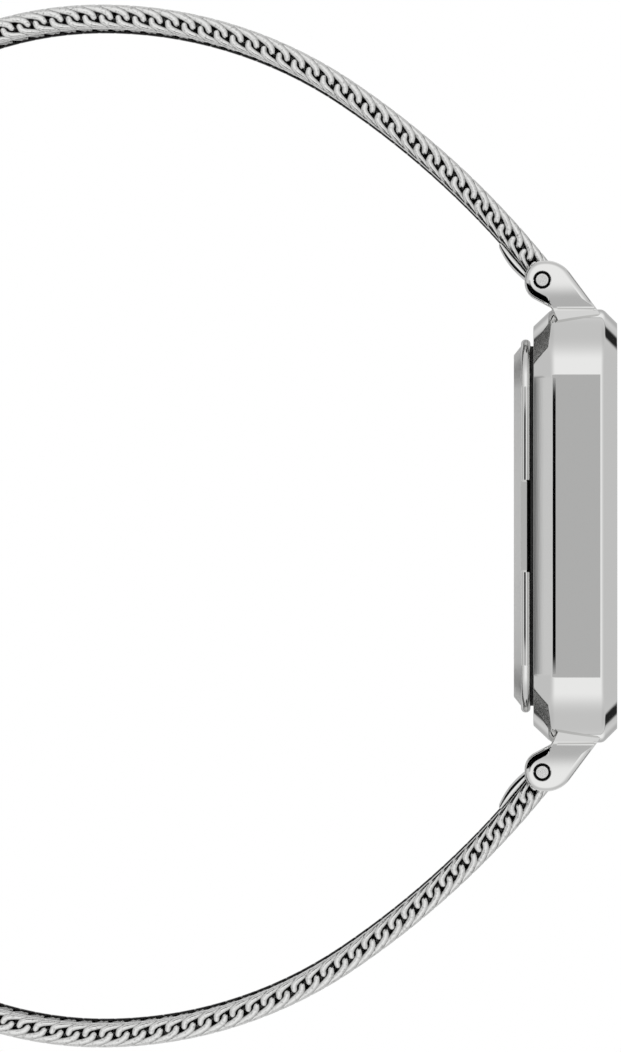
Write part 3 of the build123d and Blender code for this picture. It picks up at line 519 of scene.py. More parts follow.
def satin_steel(colours):
    """The back plate's steel, brushed with a fine wheel: soft, with streaks along Y."""
    material, tree, place = new_material("satin stainless steel")
    haze = noise_between(tree, place, 300, 0.36, 0.42)
    lines = streaks(tree, place, (16000, 500, 16000))
    surface(tree, colours.steel, 1.0, haze, lines, 0.06, 0.00003)
    return material


def woven_steel(colours):
    """Drawn stainless wire, woven, ground and tumbled, with small dents and spots of polish about 0.1 mm
    wide. Painted shade from the recess attribute keeps it bright on the outside of the weave and dark deep in
    it and round the sides of the ground ends."""
    material, tree, place = new_material("woven stainless wire")
    # The recess attribute holds painted shade, from 0 in the open to 1 deep in the weave
    depth = add_node(tree, "ShaderNodeAttribute", (-900, 300), attribute_name="recess").outputs["Fac"]
    polish = add_node(tree, "ShaderNodeTexNoise", (-700, 300), {"Vector": place, "Scale": 7000.0})
    inputs = {"Value": polish, "From Min": 0.53, "From Max": 0.75, "To Min": 0.0, "To Max": 0.45}
    spots = add_node(tree, "ShaderNodeMapRange", (-500, 300), inputs)
    # Painted shade plus the random spots of polish pull the steel towards the painted shade colour
    inputs = {0: depth, 1: spots}
    painted_shade_and_spots = add_node(tree, "ShaderNodeMath", (-300, 300), inputs, operation="ADD", use_clamp=True)
    inputs = {"Factor": painted_shade_and_spots, "A": colours.steel, "B": colours.recess}
    shade = add_node(tree, "ShaderNodeMix", (-100, 300), inputs, data_type="RGBA").outputs["Result"]
    haze = noise_between(tree, place, 1500, 0.08, 0.22)
    dents = add_node(tree, "ShaderNodeTexNoise", (-400, -300), {"Vector": place, "Scale": 5000.0})
    surface(tree, shade, 1.0, haze, dents, 0.25, 0.00003)
    return material


def plain_material(name, colour, metallic, low, high, grain, strength):
    """A moulded, painted or plated finish: its roughness wanders between low and high, and
    its surface has fine grain of the given size in metres."""
    material, tree, place = new_material(name)
    haze = noise_between(tree, place, 0.3 / grain, low, high)
    relief = add_node(tree, "ShaderNodeTexNoise", (-400, -300), {"Vector": place, "Scale": 1 / grain})
    surface(tree, colour, metallic, haze, relief, strength, grain / 4)
    return material


def dial_lacquer(colours):
    """Brass blank, sunray-brushed and lacquered dark: rays run out from the middle under a
    clear gloss coat."""
    material, tree, place = new_material("sunray lacquer")
    parts = add_node(tree, "ShaderNodeSeparateXYZ", (-1100, 0), {"Vector": place}).outputs
    inputs = {0: parts["Y"], 1: parts["X"]}
    around = add_node(tree, "ShaderNodeMath", (-900, 0), inputs, operation="ARCTAN2")
    inputs = {"W": around, "Scale": 70.0, "Detail": 3.0}
    rays = add_node(tree, "ShaderNodeTexNoise", (-700, 0), inputs, noise_dimensions="1D")
    inputs = {"Value": rays, "From Min": 0.3, "From Max": 0.7, "To Min": 0.28, "To Max": 0.42}
    brushed = add_node(tree, "ShaderNodeMapRange", (-500, 0), inputs)
    coat = {"Coat Weight": 0.25, "Coat Roughness": 0.05}
    surface(tree, colours.dial, 0.75, brushed, rays, 0.3, 0.00005, coat)
    return material


def crystal_glass():
    """Mineral crystal, ground, polished and coated against glare: clear, with the faintest
    unevenness and a weak reflection."""
    material, tree, place = new_material("mineral crystal")
    waves = add_node(tree, "ShaderNodeTexNoise", (-400, -300), {"Vector": place, "Scale": 60.0})
    glass = {"IOR": 1.5, "Transmission Weight": 1.0, "Specular IOR Level": 0.2}
    surface(tree, linear("#ffffff"), 0.0, 0.0, waves, 0.01, 0.00005, glass)
    return material


def materials_by_slot(colours):
    """One material for each slot of the record."""
    return {
        "polished_steel": polished_steel(colours),
        "woven_steel": woven_steel(colours),
        "crystal_glass": crystal_glass(),
        "dial_paint": dial_lacquer(colours),
        # Turned brass, plated and painted matt, with a grain of 0.08 mm
        "ring_paint": plain_material("matt ring paint", colours.dial, 0.0, 0.45, 0.6, 0.08 * MM, 0.2),
        # Nitrile rubber, moulded: matt with a fine orange peel of 0.1 mm
        "seal_rubber": plain_material("nitrile rubber", colours.rubber, 0.0, 0.5, 0.7, 0.1 * MM, 0.3),
        # Acetal, moulded: satin, grain of 0.15 mm
        "spacer_plastic": plain_material("acetal", colours.plastic, 0.0, 0.35, 0.5, 0.15 * MM, 0.1),
        # Brass, turned and tumbled, grain of 0.06 mm
        "movement_brass": plain_material("turned brass", colours.brass, 1.0, 0.2, 0.32, 0.06 * MM, 0.2),
        # Glass epoxy with green mask, weave of 0.2 mm
        "board_plastic": plain_material("epoxy board", colours.board, 0.0, 0.25, 0.4, 0.2 * MM, 0.15),
        # Nickel-plated steel, rolled, grain of 0.1 mm
        "movement_steel": plain_material(
            "nickel-plated steel", colours.steel, 1.0, 0.15, 0.3, 0.1 * MM, 0.15
        ),
    }


def slot_material(slot):
    """The material made for a slot."""
    return bpy.data.materials[bpy.context.scene["slot_materials"][slot]]


# Case
def case_profile(sizes):
    """The case's wall as a closed outline of half width and height, with the straight half
    length of each point's square. From the back's outer edge it goes up the side, over the
    front, down the crystal's seat and the bore."""
    half = sizes.width / 2
    seat = sizes.crystal_half + sizes.gasket
    opening = sizes.crystal_half - sizes.ledge
    bore = half - sizes.wall
    corners = [
        (half - sizes.back_inset, sizes.back),
        (half, sizes.side_back),
        (half, sizes.side_front),
        (half - sizes.front_inset, sizes.front),
        (seat, sizes.front),
        (seat, sizes.crystal_back),
        (opening, sizes.crystal_back),
        (opening, sizes.ledge_back),
        (bore, sizes.ledge_back),
        (bore, sizes.back),
    ]
    edge = sizes.edge_round
    radii = [edge, sizes.back_round, sizes.front_round, edge, edge / 2, 0, 0, 0, 0, edge / 2]
    outline = fillet(corners, radii, 5)
    outer = half - sizes.corner
    inner = sizes.crystal_half - sizes.crystal_corner
    middle = (half + seat - sizes.front_inset) / 2
    in_seat = outline[:, 0] < middle
    in_bore = (outline[:, 1] < sizes.crystal_back - edge / 4) & (outline[:, 0] < bore + edge)
    straight = np.where(in_seat, inner, outer)
    straight = np.where(in_bore, bore - sizes.bore_corner, straight)
    return outline[:, 0], straight, outline[:, 1]


def back_profile(sizes):
    """The case back from the middle of its outer face, round the plate, the bead and the snap
    rim, to the middle of its inside floor."""
    bore = sizes.width / 2 - sizes.wall - sizes.snap_gap
    pan = bore - sizes.rim_wall
    round_edge = sizes.edge_round
    corners = [
        (0, 0),
        (sizes.plate_half - sizes.plate_bevel, 0),
        (sizes.plate_half, sizes.plate_height),
        (sizes.bead_half, sizes.plate_height),
        (sizes.bead_half, sizes.bead_top),
        (bore, sizes.bead_top),
        (bore, sizes.rim_top),
        (pan, sizes.rim_top),
        (pan, sizes.floor),
        (0, sizes.floor),
    ]
    radii = [0, round_edge, 0, sizes.bead_round, sizes.bead_round, 0, round_edge, round_edge, 0, 0]
    outline = fillet(corners, radii, 6)
    straight = np.full(len(outline), sizes.bead_half - sizes.bead_corner)
    slack = round_edge / 4
    in_rim = (outline[:, 1] > sizes.bead_top - slack) & (outline[:, 0] < bore + slack)
    in_pan = (outline[:, 0] < pan + slack) & (outline[:, 1] > slack)
    straight[in_rim] = bore - sizes.bore_corner
    straight[in_pan] = pan - sizes.bore_corner
    straight[outline[:, 0] == 0] = 0
    return outline[:, 0], straight, outline[:, 1]


class WATCH_OT_case(bpy.types.Operator):
    """Make the case and its back"""

    bl_idname = "watch.case"
    bl_label = "Case"

    def execute(self, context):
        sizes = context.scene.watch_case
        wall = carry_round_square(*case_profile(sizes), sizes.corner_steps)
        case = add_piece("case_frame_polished", [(wall, True, True)], "polished_steel")
        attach(case, "case")
        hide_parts("case_frame")
        near = sizes.pry_half
        beside = near + sizes.pry_slope
        stops = np.array([-beside, -near, near, beside])
        plate = carry_round_square(*back_profile(sizes), sizes.corner_steps, stops)
        x, y, z = np.moveaxis(plate, -1, 0)
        in_flat = (np.abs(y) <= near + MERGE) & (x < 0)
        in_flat &= (z > sizes.plate_height - MERGE) & (z < sizes.bead_top + MERGE)
        x[in_flat] = np.maximum(x[in_flat], sizes.pry_depth - sizes.bead_half)
        lowered = in_flat & (x < -sizes.notch_reach)
        z[lowered] = np.minimum(z[lowered], sizes.notch_height)
        back = add_piece("caseback_polished", [(plate, False, True)], "polished_steel")
        back.data.materials.append(bpy.data.materials["satin stainless steel"])
        in_plate = face_centres(back.data)[:, 2] < sizes.plate_height - 10 * MERGE
        back.data.polygons.foreach_set("material_index", in_plate.astype(np.int32))
        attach(back, "case")
        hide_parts("caseback")
        return {"FINISHED"}


# Lugs
def point_at(centre, radius, turn):
    """A point on a circle in (y, z), its angle turning from +Z towards +Y."""
    return np.stack([centre[0] + radius * np.sin(turn), centre[1] + radius * np.cos(turn)], axis=-1)


def lug_outline(sizes, side_back, case_half):
    """The lug's outline in (y, z): the end's arc, the shoulder's arc, the sloping back, the
    foot inside the case and the belly's tangent, each as evenly spaced points."""
    centre = np.array([sizes.pin_y, sizes.pin_z + sizes.hole_offset])
    shoulder_centre = point_at(centre, sizes.round - sizes.shoulder, sizes.blend)
    foot_y = case_half - sizes.foot_sink
    top = point_at(shoulder_centre, sizes.shoulder, sizes.slope)
    belly = point_at(centre, sizes.round, sizes.belly)
    front_foot = np.array([foot_y, top[1] + (top[0] - foot_y) * math.tan(sizes.slope)])
    neck_y = belly[0] - (side_back - belly[1]) / math.tan(sizes.belly - math.pi)
    neck = np.array([neck_y, side_back])
    corner = np.array([foot_y, side_back + sizes.foot_rise])

    def run(start, end, steps):
        return start + (end - start) * np.linspace(0, 1, steps, endpoint=False)[:, None]

    return np.concatenate([
        run(front_foot, top, 32),
        point_at(shoulder_centre, sizes.shoulder, np.linspace(sizes.slope, sizes.blend, 18, endpoint=False)),
        point_at(centre, sizes.round, np.linspace(sizes.blend, sizes.belly, 44, endpoint=False)),
        run(belly, neck, 16),
        run(neck, corner, 8),
        run(corner, front_foot, 24),
    ])


def lug_grid(sizes, case):
    """The lug as rings that go from the pin's hole out over one face, round the edges and
    back over the other face to the hole. Every point of a column lies in one direction from
    the hole, so that no two columns cross, and an edge's rounding is measured square to the
    outline: radius / cos of the angle between the two."""
    outline = lug_outline(sizes, case.side_back, case.width / 2)
    around = np.roll(outline, -1, axis=0) - np.roll(outline, 1, axis=0)
    around /= np.linalg.norm(around, axis=1)[:, None]
    inward = np.stack([-around[:, 1], around[:, 0]], axis=1)
    middle = np.array([sizes.pin_y, sizes.pin_z])
    if np.mean(np.sum(inward * (middle - outline), axis=1)) < 0:
        inward = -inward
    away = outline - middle
    away /= np.linalg.norm(away, axis=1)[:, None]
    hole = middle + away * (sizes.pin_radius + sizes.hole_gap)
    pull = -away / np.maximum(0.3, -np.sum(inward * away, axis=1))[:, None]
    inner_x = sizes.outer - sizes.thickness
    rim = sizes.hole_rim
    share = rise(outline[:, 0], case.width / 2, sizes.foot_run)[:, None]
    share = share * share * (3 - 2 * share)
    edge = sizes.foot_edge + (sizes.edge - sizes.foot_edge) * share
    inner_edge = sizes.foot_edge + (sizes.inner_edge - sizes.foot_edge) * share
    rings = [(inner_x + rim, hole), (sizes.outer - rim, hole)]
    base = hole + away * rim
    face = outline + pull * edge
    fall = np.maximum(base[:, 0] - face[:, 0], 1e-6)
    # Two rings of each column lie on the lines where the flare starts and ends, as shares
    # of the way from the hole to the edge
    lines = []
    for line, least, most in ((sizes.flare_top, 0.05, 0.985), (sizes.flare_end, 0.06, 0.9925)):
        on_line = np.clip((base[:, 0] - line) / fall, least, most)
        lines.append(np.where(face[:, 0] < line, on_line, most))
    knots = [np.zeros_like(fall), np.full_like(fall, 0.01), *lines, np.full_like(fall, 0.998)]
    for low, high, steps in zip(knots[:-1], knots[1:], (1, 26, 10, 3)):
        for step in range(steps):
            share = (low + (high - low) * step / steps)[:, None]
            rings.append((sizes.outer, base + (face - base) * share))
    for turn in np.linspace(0, math.pi / 2, 8):
        place = outline + pull * edge * (1 - math.sin(turn))
        rings.append((sizes.outer - edge[:, 0] * (1 - math.cos(turn)), place))
    for turn in np.linspace(math.pi / 2, 0, 4):
        place = outline + pull * inner_edge * (1 - math.sin(turn))
        rings.append((inner_x + inner_edge[:, 0] * (1 - math.cos(turn)), place))
    rings.append((inner_x, hole + away * rim))
    x = np.stack([np.broadcast_to(ring[0], len(outline)) for ring in rings])
    flat = np.stack([ring[1] for ring in rings])
    drop = (sizes.flare_top - flat[..., 0]) / (sizes.flare_top - sizes.flare_end)
    reach = 1 - np.cos(np.clip(drop, 0, 1) * math.pi / 2)
    front = rise(flat[..., 1], case.side_back, case.side_front - case.side_back)
    wide = sizes.spread_back + (sizes.spread_front - sizes.spread_back) * front
    x = x + rise(x, inner_x, sizes.thickness) * reach * wide
    return np.stack([x, flat[..., 0], flat[..., 1]], axis=-1)


def paint_gap_shade(piece, sizes, least):
    """Gives the faces in the gap round the pin, at least this far from the pin's line, black painted shade in
    the material shadowed steel, and the pin's end satin steel."""
    mesh = piece.data
    mesh.materials.append(bpy.data.materials["shadowed steel"])
    mesh.materials.append(bpy.data.materials["satin stainless steel"])
    x, y, z = face_centres(mesh).T
    away = np.hypot(np.abs(y) - sizes.pin_y, z - sizes.pin_z)
    depth = sizes.outer - np.abs(x) - sizes.pin_recess
    # Faces deep in the gap get black painted shade
    in_gap = (away > least) & (away < sizes.pin_radius + sizes.hole_gap + 0.005 * MM) & (depth > 0.02 * MM)
    on_end = (away < sizes.pin_end) & (depth < 0.01 * MM)
    mesh.polygons.foreach_set("material_index", np.where(on_end, 2, in_gap).astype(np.int32))
    mesh.update()


class WATCH_OT_lugs(bpy.types.Operator):
    """Make the four lugs and their two pins"""

    bl_idname = "watch.lugs"
    bl_label = "Lugs"

    def execute(self, context):
        sizes = context.scene.watch_lugs
        grid = lug_grid(sizes, context.scene.watch_case)
        end = sizes.outer - sizes.pin_recess
        neck = sizes.pin_neck - end
        radii = [0, 0, 0.02 * MM, 0, 0.01 * MM]
        corners = [
            (-end, 0),
            (-end, sizes.pin_end - sizes.hole_rim),
            (-end, sizes.pin_end),
            (neck, sizes.pin_end),
            (neck, sizes.pin_radius),
        ]
        corners += [(-x, radius) for x, radius in corners[::-1]]
        profile = fillet(corners, radii + radii[::-1], 4)
        for half, sign_y in (("upper", 1), ("lower", -1)):
            for side, sign_x in (("right", 1), ("left", -1)):
                name = f"{half}_{side}_lug"
                placed = grid * np.array([sign_x, sign_y, 1])
                lug = add_piece(name + "_polished", [(placed, True, True)], "polished_steel")
                paint_gap_shade(lug, sizes, 0)
                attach(lug, "case")
                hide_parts(name)
            pin = revolve(profile, (sign_y * sizes.pin_y, sizes.pin_z), 48)
            piece = add_piece(f"{half}_pin_polished", [(pin, False, True)], "polished_steel")
            paint_gap_shade(piece, sizes, sizes.pin_end - 0.005 * MM)
            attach(piece, "case")
            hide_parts(f"{half}_lug_pin")
        return {"FINISHED"}


# Bracelet
def band_place(sizes, distance, height, hidden_radius):
    """Places in (y, z) at distances along the upper half's middle line and heights outward
    from it. The line turns through four arcs: on each it moves by radius x (sin, cos) of the
    heading's change, and beyond them it runs straight."""
    knuckle_start = math.sqrt(sizes.knuckle ** 2 - sizes.knuckle_offset ** 2)
    lug = bpy.context.scene.watch_lugs
    heading = np.full(distance.shape, sizes.start_angle)
    sin = math.sin(sizes.start_angle)
    cos = math.cos(sizes.start_angle)
    y = lug.pin_y + sin * sizes.knuckle_offset + cos * knuckle_start
    z = lug.pin_z + cos * sizes.knuckle_offset - sin * knuckle_start
    arcs = [
        (sizes.near_radius, sizes.near_angle),
        (sizes.shoulder_radius, sizes.shoulder_angle),
        (sizes.bend_radius, sizes.bend_angle),
    ]
    hidden_turn = math.pi - sizes.start_angle - sum(turn for _, turn in arcs)
    left = distance
    for radius, turn in arcs + [(hidden_radius, hidden_turn)]:
        step = np.clip(left, 0, radius * turn)
        turned = heading + step / radius
        y = y + radius * (np.sin(turned) - np.sin(heading))
        z = z + radius * (np.cos(turned) - np.cos(heading))
        heading = turned
        left = left - step
    y = y + np.cos(heading) * left + np.sin(heading) * height
    z = z - np.sin(heading) * left + np.cos(heading) * height
    return y, z


def tube_round(path, radius, sides):
    """Rings of points round paths in (x, s, h) whose last axes are stations and coordinates.
    A ring turns about the path's tangent, from the direction nearest X."""
    tangent = np.gradient(path, axis=-2)
    tangent /= np.linalg.norm(tangent, axis=-1, keepdims=True)
    across = np.cross(tangent, np.array([1.0, 0, 0]))
    across /= np.linalg.norm(across, axis=-1, keepdims=True)
    side = np.cross(across, tangent)
    turned = np.linspace(0, 2 * math.pi, sides, endpoint=False)
    radius = np.asarray(radius)[..., None, None]
    ring = np.cos(turned)[:, None] * side[..., None, :] + np.sin(turned)[:, None] * across[..., None, :]
    return path[..., None, :] + radius * ring


def coil_rings(sizes, rows, sides=5, steps=10):
    """A flattened helix for each row: with the turn's angle a, it goes half x cos(a) along
    a tilted line and legs x sin(a) across it, while x advances one turn's width. Rows that
    follow each other are half a turn apart."""
    turns = int(2 * sizes.coil_reach / sizes.turn)
    turned = np.linspace(0, 2 * math.pi * turns, turns * steps + 1)
    row = np.asarray(rows)[:, None]
    turned = turned + math.pi * (row % 2)
    x = sizes.turn * (turned - math.pi * (row % 2)) / (2 * math.pi) - sizes.turn * turns / 2
    along = sizes.coil_half * np.cos(turned)
    across = sizes.coil_legs * np.sin(turned)
    cos = math.cos(sizes.coil_tilt)
    sin = math.sin(sizes.coil_tilt)
    s = sizes.first_row + row * sizes.row + sizes.coil_shift + along * cos - across * sin
    h = along * sin + across * cos
    path = np.stack([x, s, h], axis=-1)
    radius = np.full(path.shape[1], sizes.wire)
    radius[[0, -1]] = 0
    return tube_round(path, radius, sides)


# The middle lines of a row's two ground wire ends, from the free end to the tail, as distance
# along the mesh and height in it in millimetres
STROKES = {
    "outer": (
        (0.0, 0.02), (0.06, 0.12), (0.15, 0.21), (0.29, 0.30), (0.48, 0.38), (0.70, 0.445), (0.95, 0.50),
        (1.20, 0.55), (1.45, 0.59), (1.70, 0.63), (1.95, 0.665),
    ),
    "inner": (
        (-0.51, -0.09), (-0.54, -0.19), (-0.60, -0.28), (-0.71, -0.36), (-0.86, -0.43), (-1.06, -0.48),
        (-1.30, -0.52), (-1.55, -0.56), (-1.80, -0.60), (-2.05, -0.635), (-2.30, -0.67),
    ),
}


def stroke_rings(sizes, rows, side):
    """The ground ends of each row's wire along one edge: bars that follow the given lines in
    row lengths, round at their free end and thinning where they run out along the skin.
    Their section is a superellipse, |x|^2.6 + |y|^2.6 = 1. Each bar's points come with a painted shade, which
    grows from its ground face round its sides and stands in for the shade there."""
    turned = np.linspace(0, 2 * math.pi, 12, endpoint=False)
    section_x, section_y = (
        np.sign(part) * np.abs(part) ** (2 / 2.6) for part in (np.cos(turned), np.sin(turned))
    )
    bars = []
    for points in STROKES.values():
        line = np.array(points) * MM
        direction = line[0] - line[1]
        direction /= np.linalg.norm(direction)
        caps = line[0] + direction * sizes.stroke * np.array([[1.0], [0.86], [0.5]])
        width = np.minimum(sizes.stroke, sizes.skin - np.abs(line[:, 1]))
        width[-1] = 0
        line = np.concatenate([caps, line])
        width = np.concatenate([[0, 0.51 * sizes.stroke, 0.87 * sizes.stroke], width])
        tangent = np.gradient(line, axis=0)
        tangent /= np.linalg.norm(tangent, axis=1)[:, None]
        normal = np.stack([-tangent[:, 1], tangent[:, 0]], axis=1)
        flat = line[:, None] + normal[:, None] * (width[:, None] * section_y)[..., None]
        depth = np.minimum(1, width / (0.4 * sizes.stroke)) * sizes.stroke_depth
        dive = rise(np.abs(line[:, 0] - line[3, 0]), 0.7 * MM, 0.8 * MM) * sizes.stroke_dive
        x = side * (sizes.half - sizes.stroke_depth - dive[:, None] + depth[:, None] * section_x)
        s = flat[..., 0] + sizes.first_row + np.asarray(rows)[:, None, None] * sizes.row
        bar = np.stack(np.broadcast_arrays(x, s, flat[..., 1]), axis=-1).copy()
        # Painted shade: none on the bar's ground face, dark round its sides, and less near the skin
        skin = 0.8 * rise(np.abs(bar[..., 2]), 0.64 * MM, 0.06 * MM)
        bars.append((bar, np.clip(1.9 - 2.2 * section_x - skin, 0, 0.97)))
    return bars


def coil_painted_shade(points):
    """Painted shade of each point of the coils, from 0 in the open to 1: a coil is painted dark towards the
    core and towards its cut ends, where it stands in for the shade deep in the weave."""
    height = np.abs(points[..., 2])
    core = np.clip(1.05 - height / (0.5 * MM), 0, 1)
    ends = rise(np.abs(points[..., 0]), 6.9 * MM, 0.3 * MM) * np.clip(2.2 - height / (0.35 * MM), 0, 1)
    return np.maximum(core, ends)


def half_line(sizes, half):
    """The radius of a half's last bend and the sign of its Y."""
    return (sizes.upper_hidden, 1) if half == "upper" else (sizes.lower_hidden, -1)


def weave_piece(name, sizes, rows, half, first=False, last=False):
    """One length of the weave: the coils of its rows and the ground strokes of both edges,
    bent along the bracelet's line. A half's first and last lengths also hold the tails of
    the rows that would follow, cut square a little past the last row."""
    hidden, sign = half_line(sizes, half)
    past = 0.3 * MM
    low = rows[0] * sizes.row - past if first else -math.inf
    high = (rows[-1] + 1) * sizes.row + past if last else math.inf
    held = np.concatenate([rows[:1] - [2, 1] if first else [], rows, rows[-1:] + [1, 2] if last else []])
    coils = coil_rings(sizes, rows)
    groups = [(coils, coil_painted_shade(coils))]
    groups += [group for side in (-1, 1) for group in stroke_rings(sizes, held, side)]
    grids = []
    for place, (group, _) in enumerate(groups):
        along = np.clip(group[..., 1], low, high) if place else group[..., 1]
        y, z = band_place(sizes, along, group[..., 2], hidden)
        bent = np.stack([group[..., 0], sign * y, z], axis=-1)
        grids += [(tube, False, True) for tube in bent]
    # Painted shade of every point, kept as the recess attribute
    painted_shades = np.concatenate([recess.reshape(-1) for _, recess in groups])
    mesh = make_mesh(name, *join_grids(grids), painted_shades)
    piece = add_object(name, mesh, slot_material("woven_steel"))
    return piece


# Rows in each stiff length of the mesh, from the lug on
LENGTHS = {"upper": (13, 13, 13, 13, 13), "lower": (16, 16, 16, 16, 13)}
# Rows on each side of a hinge that go into the length made across it
BLEND_ROWS = 3


class WATCH_OT_weave(bpy.types.Operator):
    """Make the woven mesh of both halves"""

    bl_idname = "watch.weave"
    bl_label = "Weave"

    def execute(self, context):
        sizes = context.scene.watch_band
        for half, lengths in LENGTHS.items():
            first = 0
            for index, count in enumerate(lengths):
                body = f"{half}_{index + 1}"
                last = first + count
                at_end = index + 1 == len(lengths)
                rows = np.arange(first + (BLEND_ROWS if index else 0), last - (0 if at_end else BLEND_ROWS))
                piece = weave_piece(f"{half}_weave_{index + 1}", sizes, rows, half, index == 0, at_end)
                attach(piece, body)
                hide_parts(f"{half}_mesh_{index + 1}")
                if not at_end:
                    reach = np.array([last - BLEND_ROWS, last + BLEND_ROWS])
                    turn = weave_piece(f"{half}_weave_bend_{index + 1}", sizes, np.arange(*reach), half)
                    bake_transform(turn)
                first = last
        return {"FINISHED"}


def barrel_grid(radius, bore, half, centre, edge=0.06 * MM):
    """A tube along X with rounded ends, its outline turned round the pin's line."""
    corners = [(-half, bore), (-half, radius), (half, radius), (half, bore)]
    profile = fillet(corners, [0, edge, edge, 0], 3)
    return revolve(profile, centre, 48)


def tongue_grid(sizes, centre, outward, into):
    """The tongue: a rounded strip carried from the barrel's middle to its tip. With s from 0
    to 1 along it, its line next to the mesh lies at inner - root x (1 - s)^3, its thickness
    is tip + bulge x sin(pi s^1.3), and its tip closes as a half circle."""
    start = math.sqrt(sizes.knuckle ** 2 - sizes.knuckle_offset ** 2)
    half_tip = sizes.tongue_tip / 2
    reach = start + sizes.tongue - half_tip
    share = np.linspace(0, 1, 18)
    thick = sizes.tongue_tip + sizes.tongue_bulge * np.sin(math.pi * share ** 1.3)
    depth = sizes.tongue_inner + sizes.tongue_gap - sizes.tongue_root * (1 - share) ** 3 + thick / 2
    closing = np.array([0.5, 0.8, 0.95, 1.0])
    run = np.concatenate([[0], reach * share, reach + half_tip * closing])
    depth = np.concatenate([depth[:1], depth, np.full(4, depth[-1])])
    thick = np.concatenate([[0], thick, sizes.tongue_tip * np.sqrt(1 - closing ** 2)])
    slope = np.gradient(depth[1:-4], run[1:-4])
    tilt = np.arctan(np.concatenate([slope[:1], slope, np.full(4, slope[-1])]))[:, None]
    turned = np.linspace(0, math.pi, 9)
    side = sizes.half - sizes.tongue_round * (1 - np.sin(turned))
    edge = np.stack([side, -np.cos(turned) / 2], axis=1)[::-1]
    section = np.concatenate([-edge, edge])
    across = section[None, :, 1] * thick[:, None]
    local_run = run[:, None] + across * np.sin(tilt)
    local_out = -depth[:, None] + across * np.cos(tilt)
    x = np.broadcast_to(section[:, 0], local_run.shape)
    y = centre[0] + into[0] * local_run + outward[0] * local_out
    z = centre[1] + into[1] * local_run + outward[1] * local_out
    return np.stack([x, y, z], axis=-1)


class WATCH_OT_links(bpy.types.Operator):
    """Make the two end links, each a barrel with its tongue"""

    bl_idname = "watch.links"
    bl_label = "End links"

    def execute(self, context):
        sizes = context.scene.watch_band
        lug = context.scene.watch_lugs
        sin = math.sin(sizes.start_angle)
        cos = math.cos(sizes.start_angle)
        centre = (lug.pin_y, lug.pin_z)
        barrel = barrel_grid(sizes.knuckle, lug.pin_radius + lug.hole_gap, sizes.knuckle_half, centre)
        tongue = tongue_grid(sizes, centre, (sin, cos), (cos, -sin))
        for half, sign in (("upper", 1), ("lower", -1)):
            turn = np.array([1, sign, 1])
            grids = [(barrel * turn, True, True), (tongue * turn, False, True)]
            piece = add_piece(f"{half}_end_link_polished", grids, "polished_steel")
            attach(piece, f"{half}_1")
            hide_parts(f"{half}_end_link")
        return {"FINISHED"}


# Crown
class WATCH_OT_crown(bpy.types.Operator):
    """Make the fluted crown"""

    bl_idname = "watch.crown"
    bl_label = "Crown"

    def execute(self, context):
        sizes = context.scene.watch_crown
        end = sizes.start + sizes.length
        corners = [
            (sizes.start + sizes.recess_depth, 0),
            (sizes.start + sizes.recess_depth, sizes.recess),
            (sizes.start, sizes.recess),
            (sizes.start, sizes.radius),
            (end, sizes.radius),
            (end, 0),
        ]
        radii = [0, 0, sizes.recess_edge, sizes.inner_edge, sizes.outer_edge, 0]
        steps = sizes.flutes * 8
        crown = revolve(fillet(corners, radii, 5), (0, sizes.height), steps)
        turned = np.linspace(0, 2 * math.pi, steps, endpoint=False)
        wave = 0.5 - 0.5 * np.cos(sizes.flutes * turned)
        middle = np.array([0, sizes.height])
        away = crown[..., 1:] - middle
        radius = np.linalg.norm(away, axis=-1)
        on_side = rise(radius, sizes.radius - sizes.fade, sizes.fade)
        inside = rise(crown[..., 0], sizes.start, sizes.inner_fade) * rise(end - crown[..., 0], 0, sizes.fade)
        pull = sizes.flute * wave * on_side * inside
        factor = np.where(radius > 0, 1 - pull / np.maximum(radius, 1e-9), 1)
        crown[..., 1:] = middle + away * factor[..., None]
        piece = add_piece("crown_polished", [(crown, False, True)], "polished_steel")
        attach(piece, "crown")
        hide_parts("crown")
        return {"FINISHED"}


# Dial side
def clockwise(along, across, turn):
    """X and Y of points along and across a direction turned clockwise from 12 o'clock: x is
    along x sin + across x cos of the turn, and y is along x cos - across x sin."""
    sin = math.sin(turn)
    cos = math.cos(turn)
    return along * sin + across * cos, along * cos - across * sin


class WATCH_OT_markers(bpy.types.Operator):
    """Make the twelve applied batons with a ridge along each"""

    bl_idname = "watch.markers"
    bl_label = "Markers"

    def execute(self, context):
        sizes = context.scene.watch_dial
        half = sizes.marker_width / 2
        low = sizes.front
        top = low + sizes.marker_height
        shoulder = low + sizes.marker_height * sizes.shoulder
        section = np.array([(-half, low), (half, low), (half, shoulder), (0, top), (-half, shoulder)])
        across = section[:, 0] * np.array([0, 1, 1, 1, 1, 0])[:, None]
        height_shares = np.array([0.2, sizes.shoulder, 1, 1, sizes.shoulder, 0.2])
        z = low + (section[:, 1] - low) * height_shares[:, None]
        grids = []
        for hour in range(12):
            turn = 2 * math.pi * hour / 12
            reach = sizes.limit / max(abs(math.sin(turn)), abs(math.cos(turn)))
            reach = min(reach, sizes.limit + sizes.corner)
            start = reach - sizes.marker_length
            end = sizes.marker_end
            along = np.array([start, start, start + end, reach - end, reach, reach])
            x, y = clockwise(along[:, None], across, turn)
            grids.append((np.stack([x, y, z], axis=-1), False, True))
        piece = add_piece("hour_markers_polished", grids, "polished_steel", False)
        piece.data.polygons.foreach_set("use_smooth", np.zeros(len(piece.data.polygons), bool))
        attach(piece, "case")
        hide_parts("hour_markers")
        return {"FINISHED"}


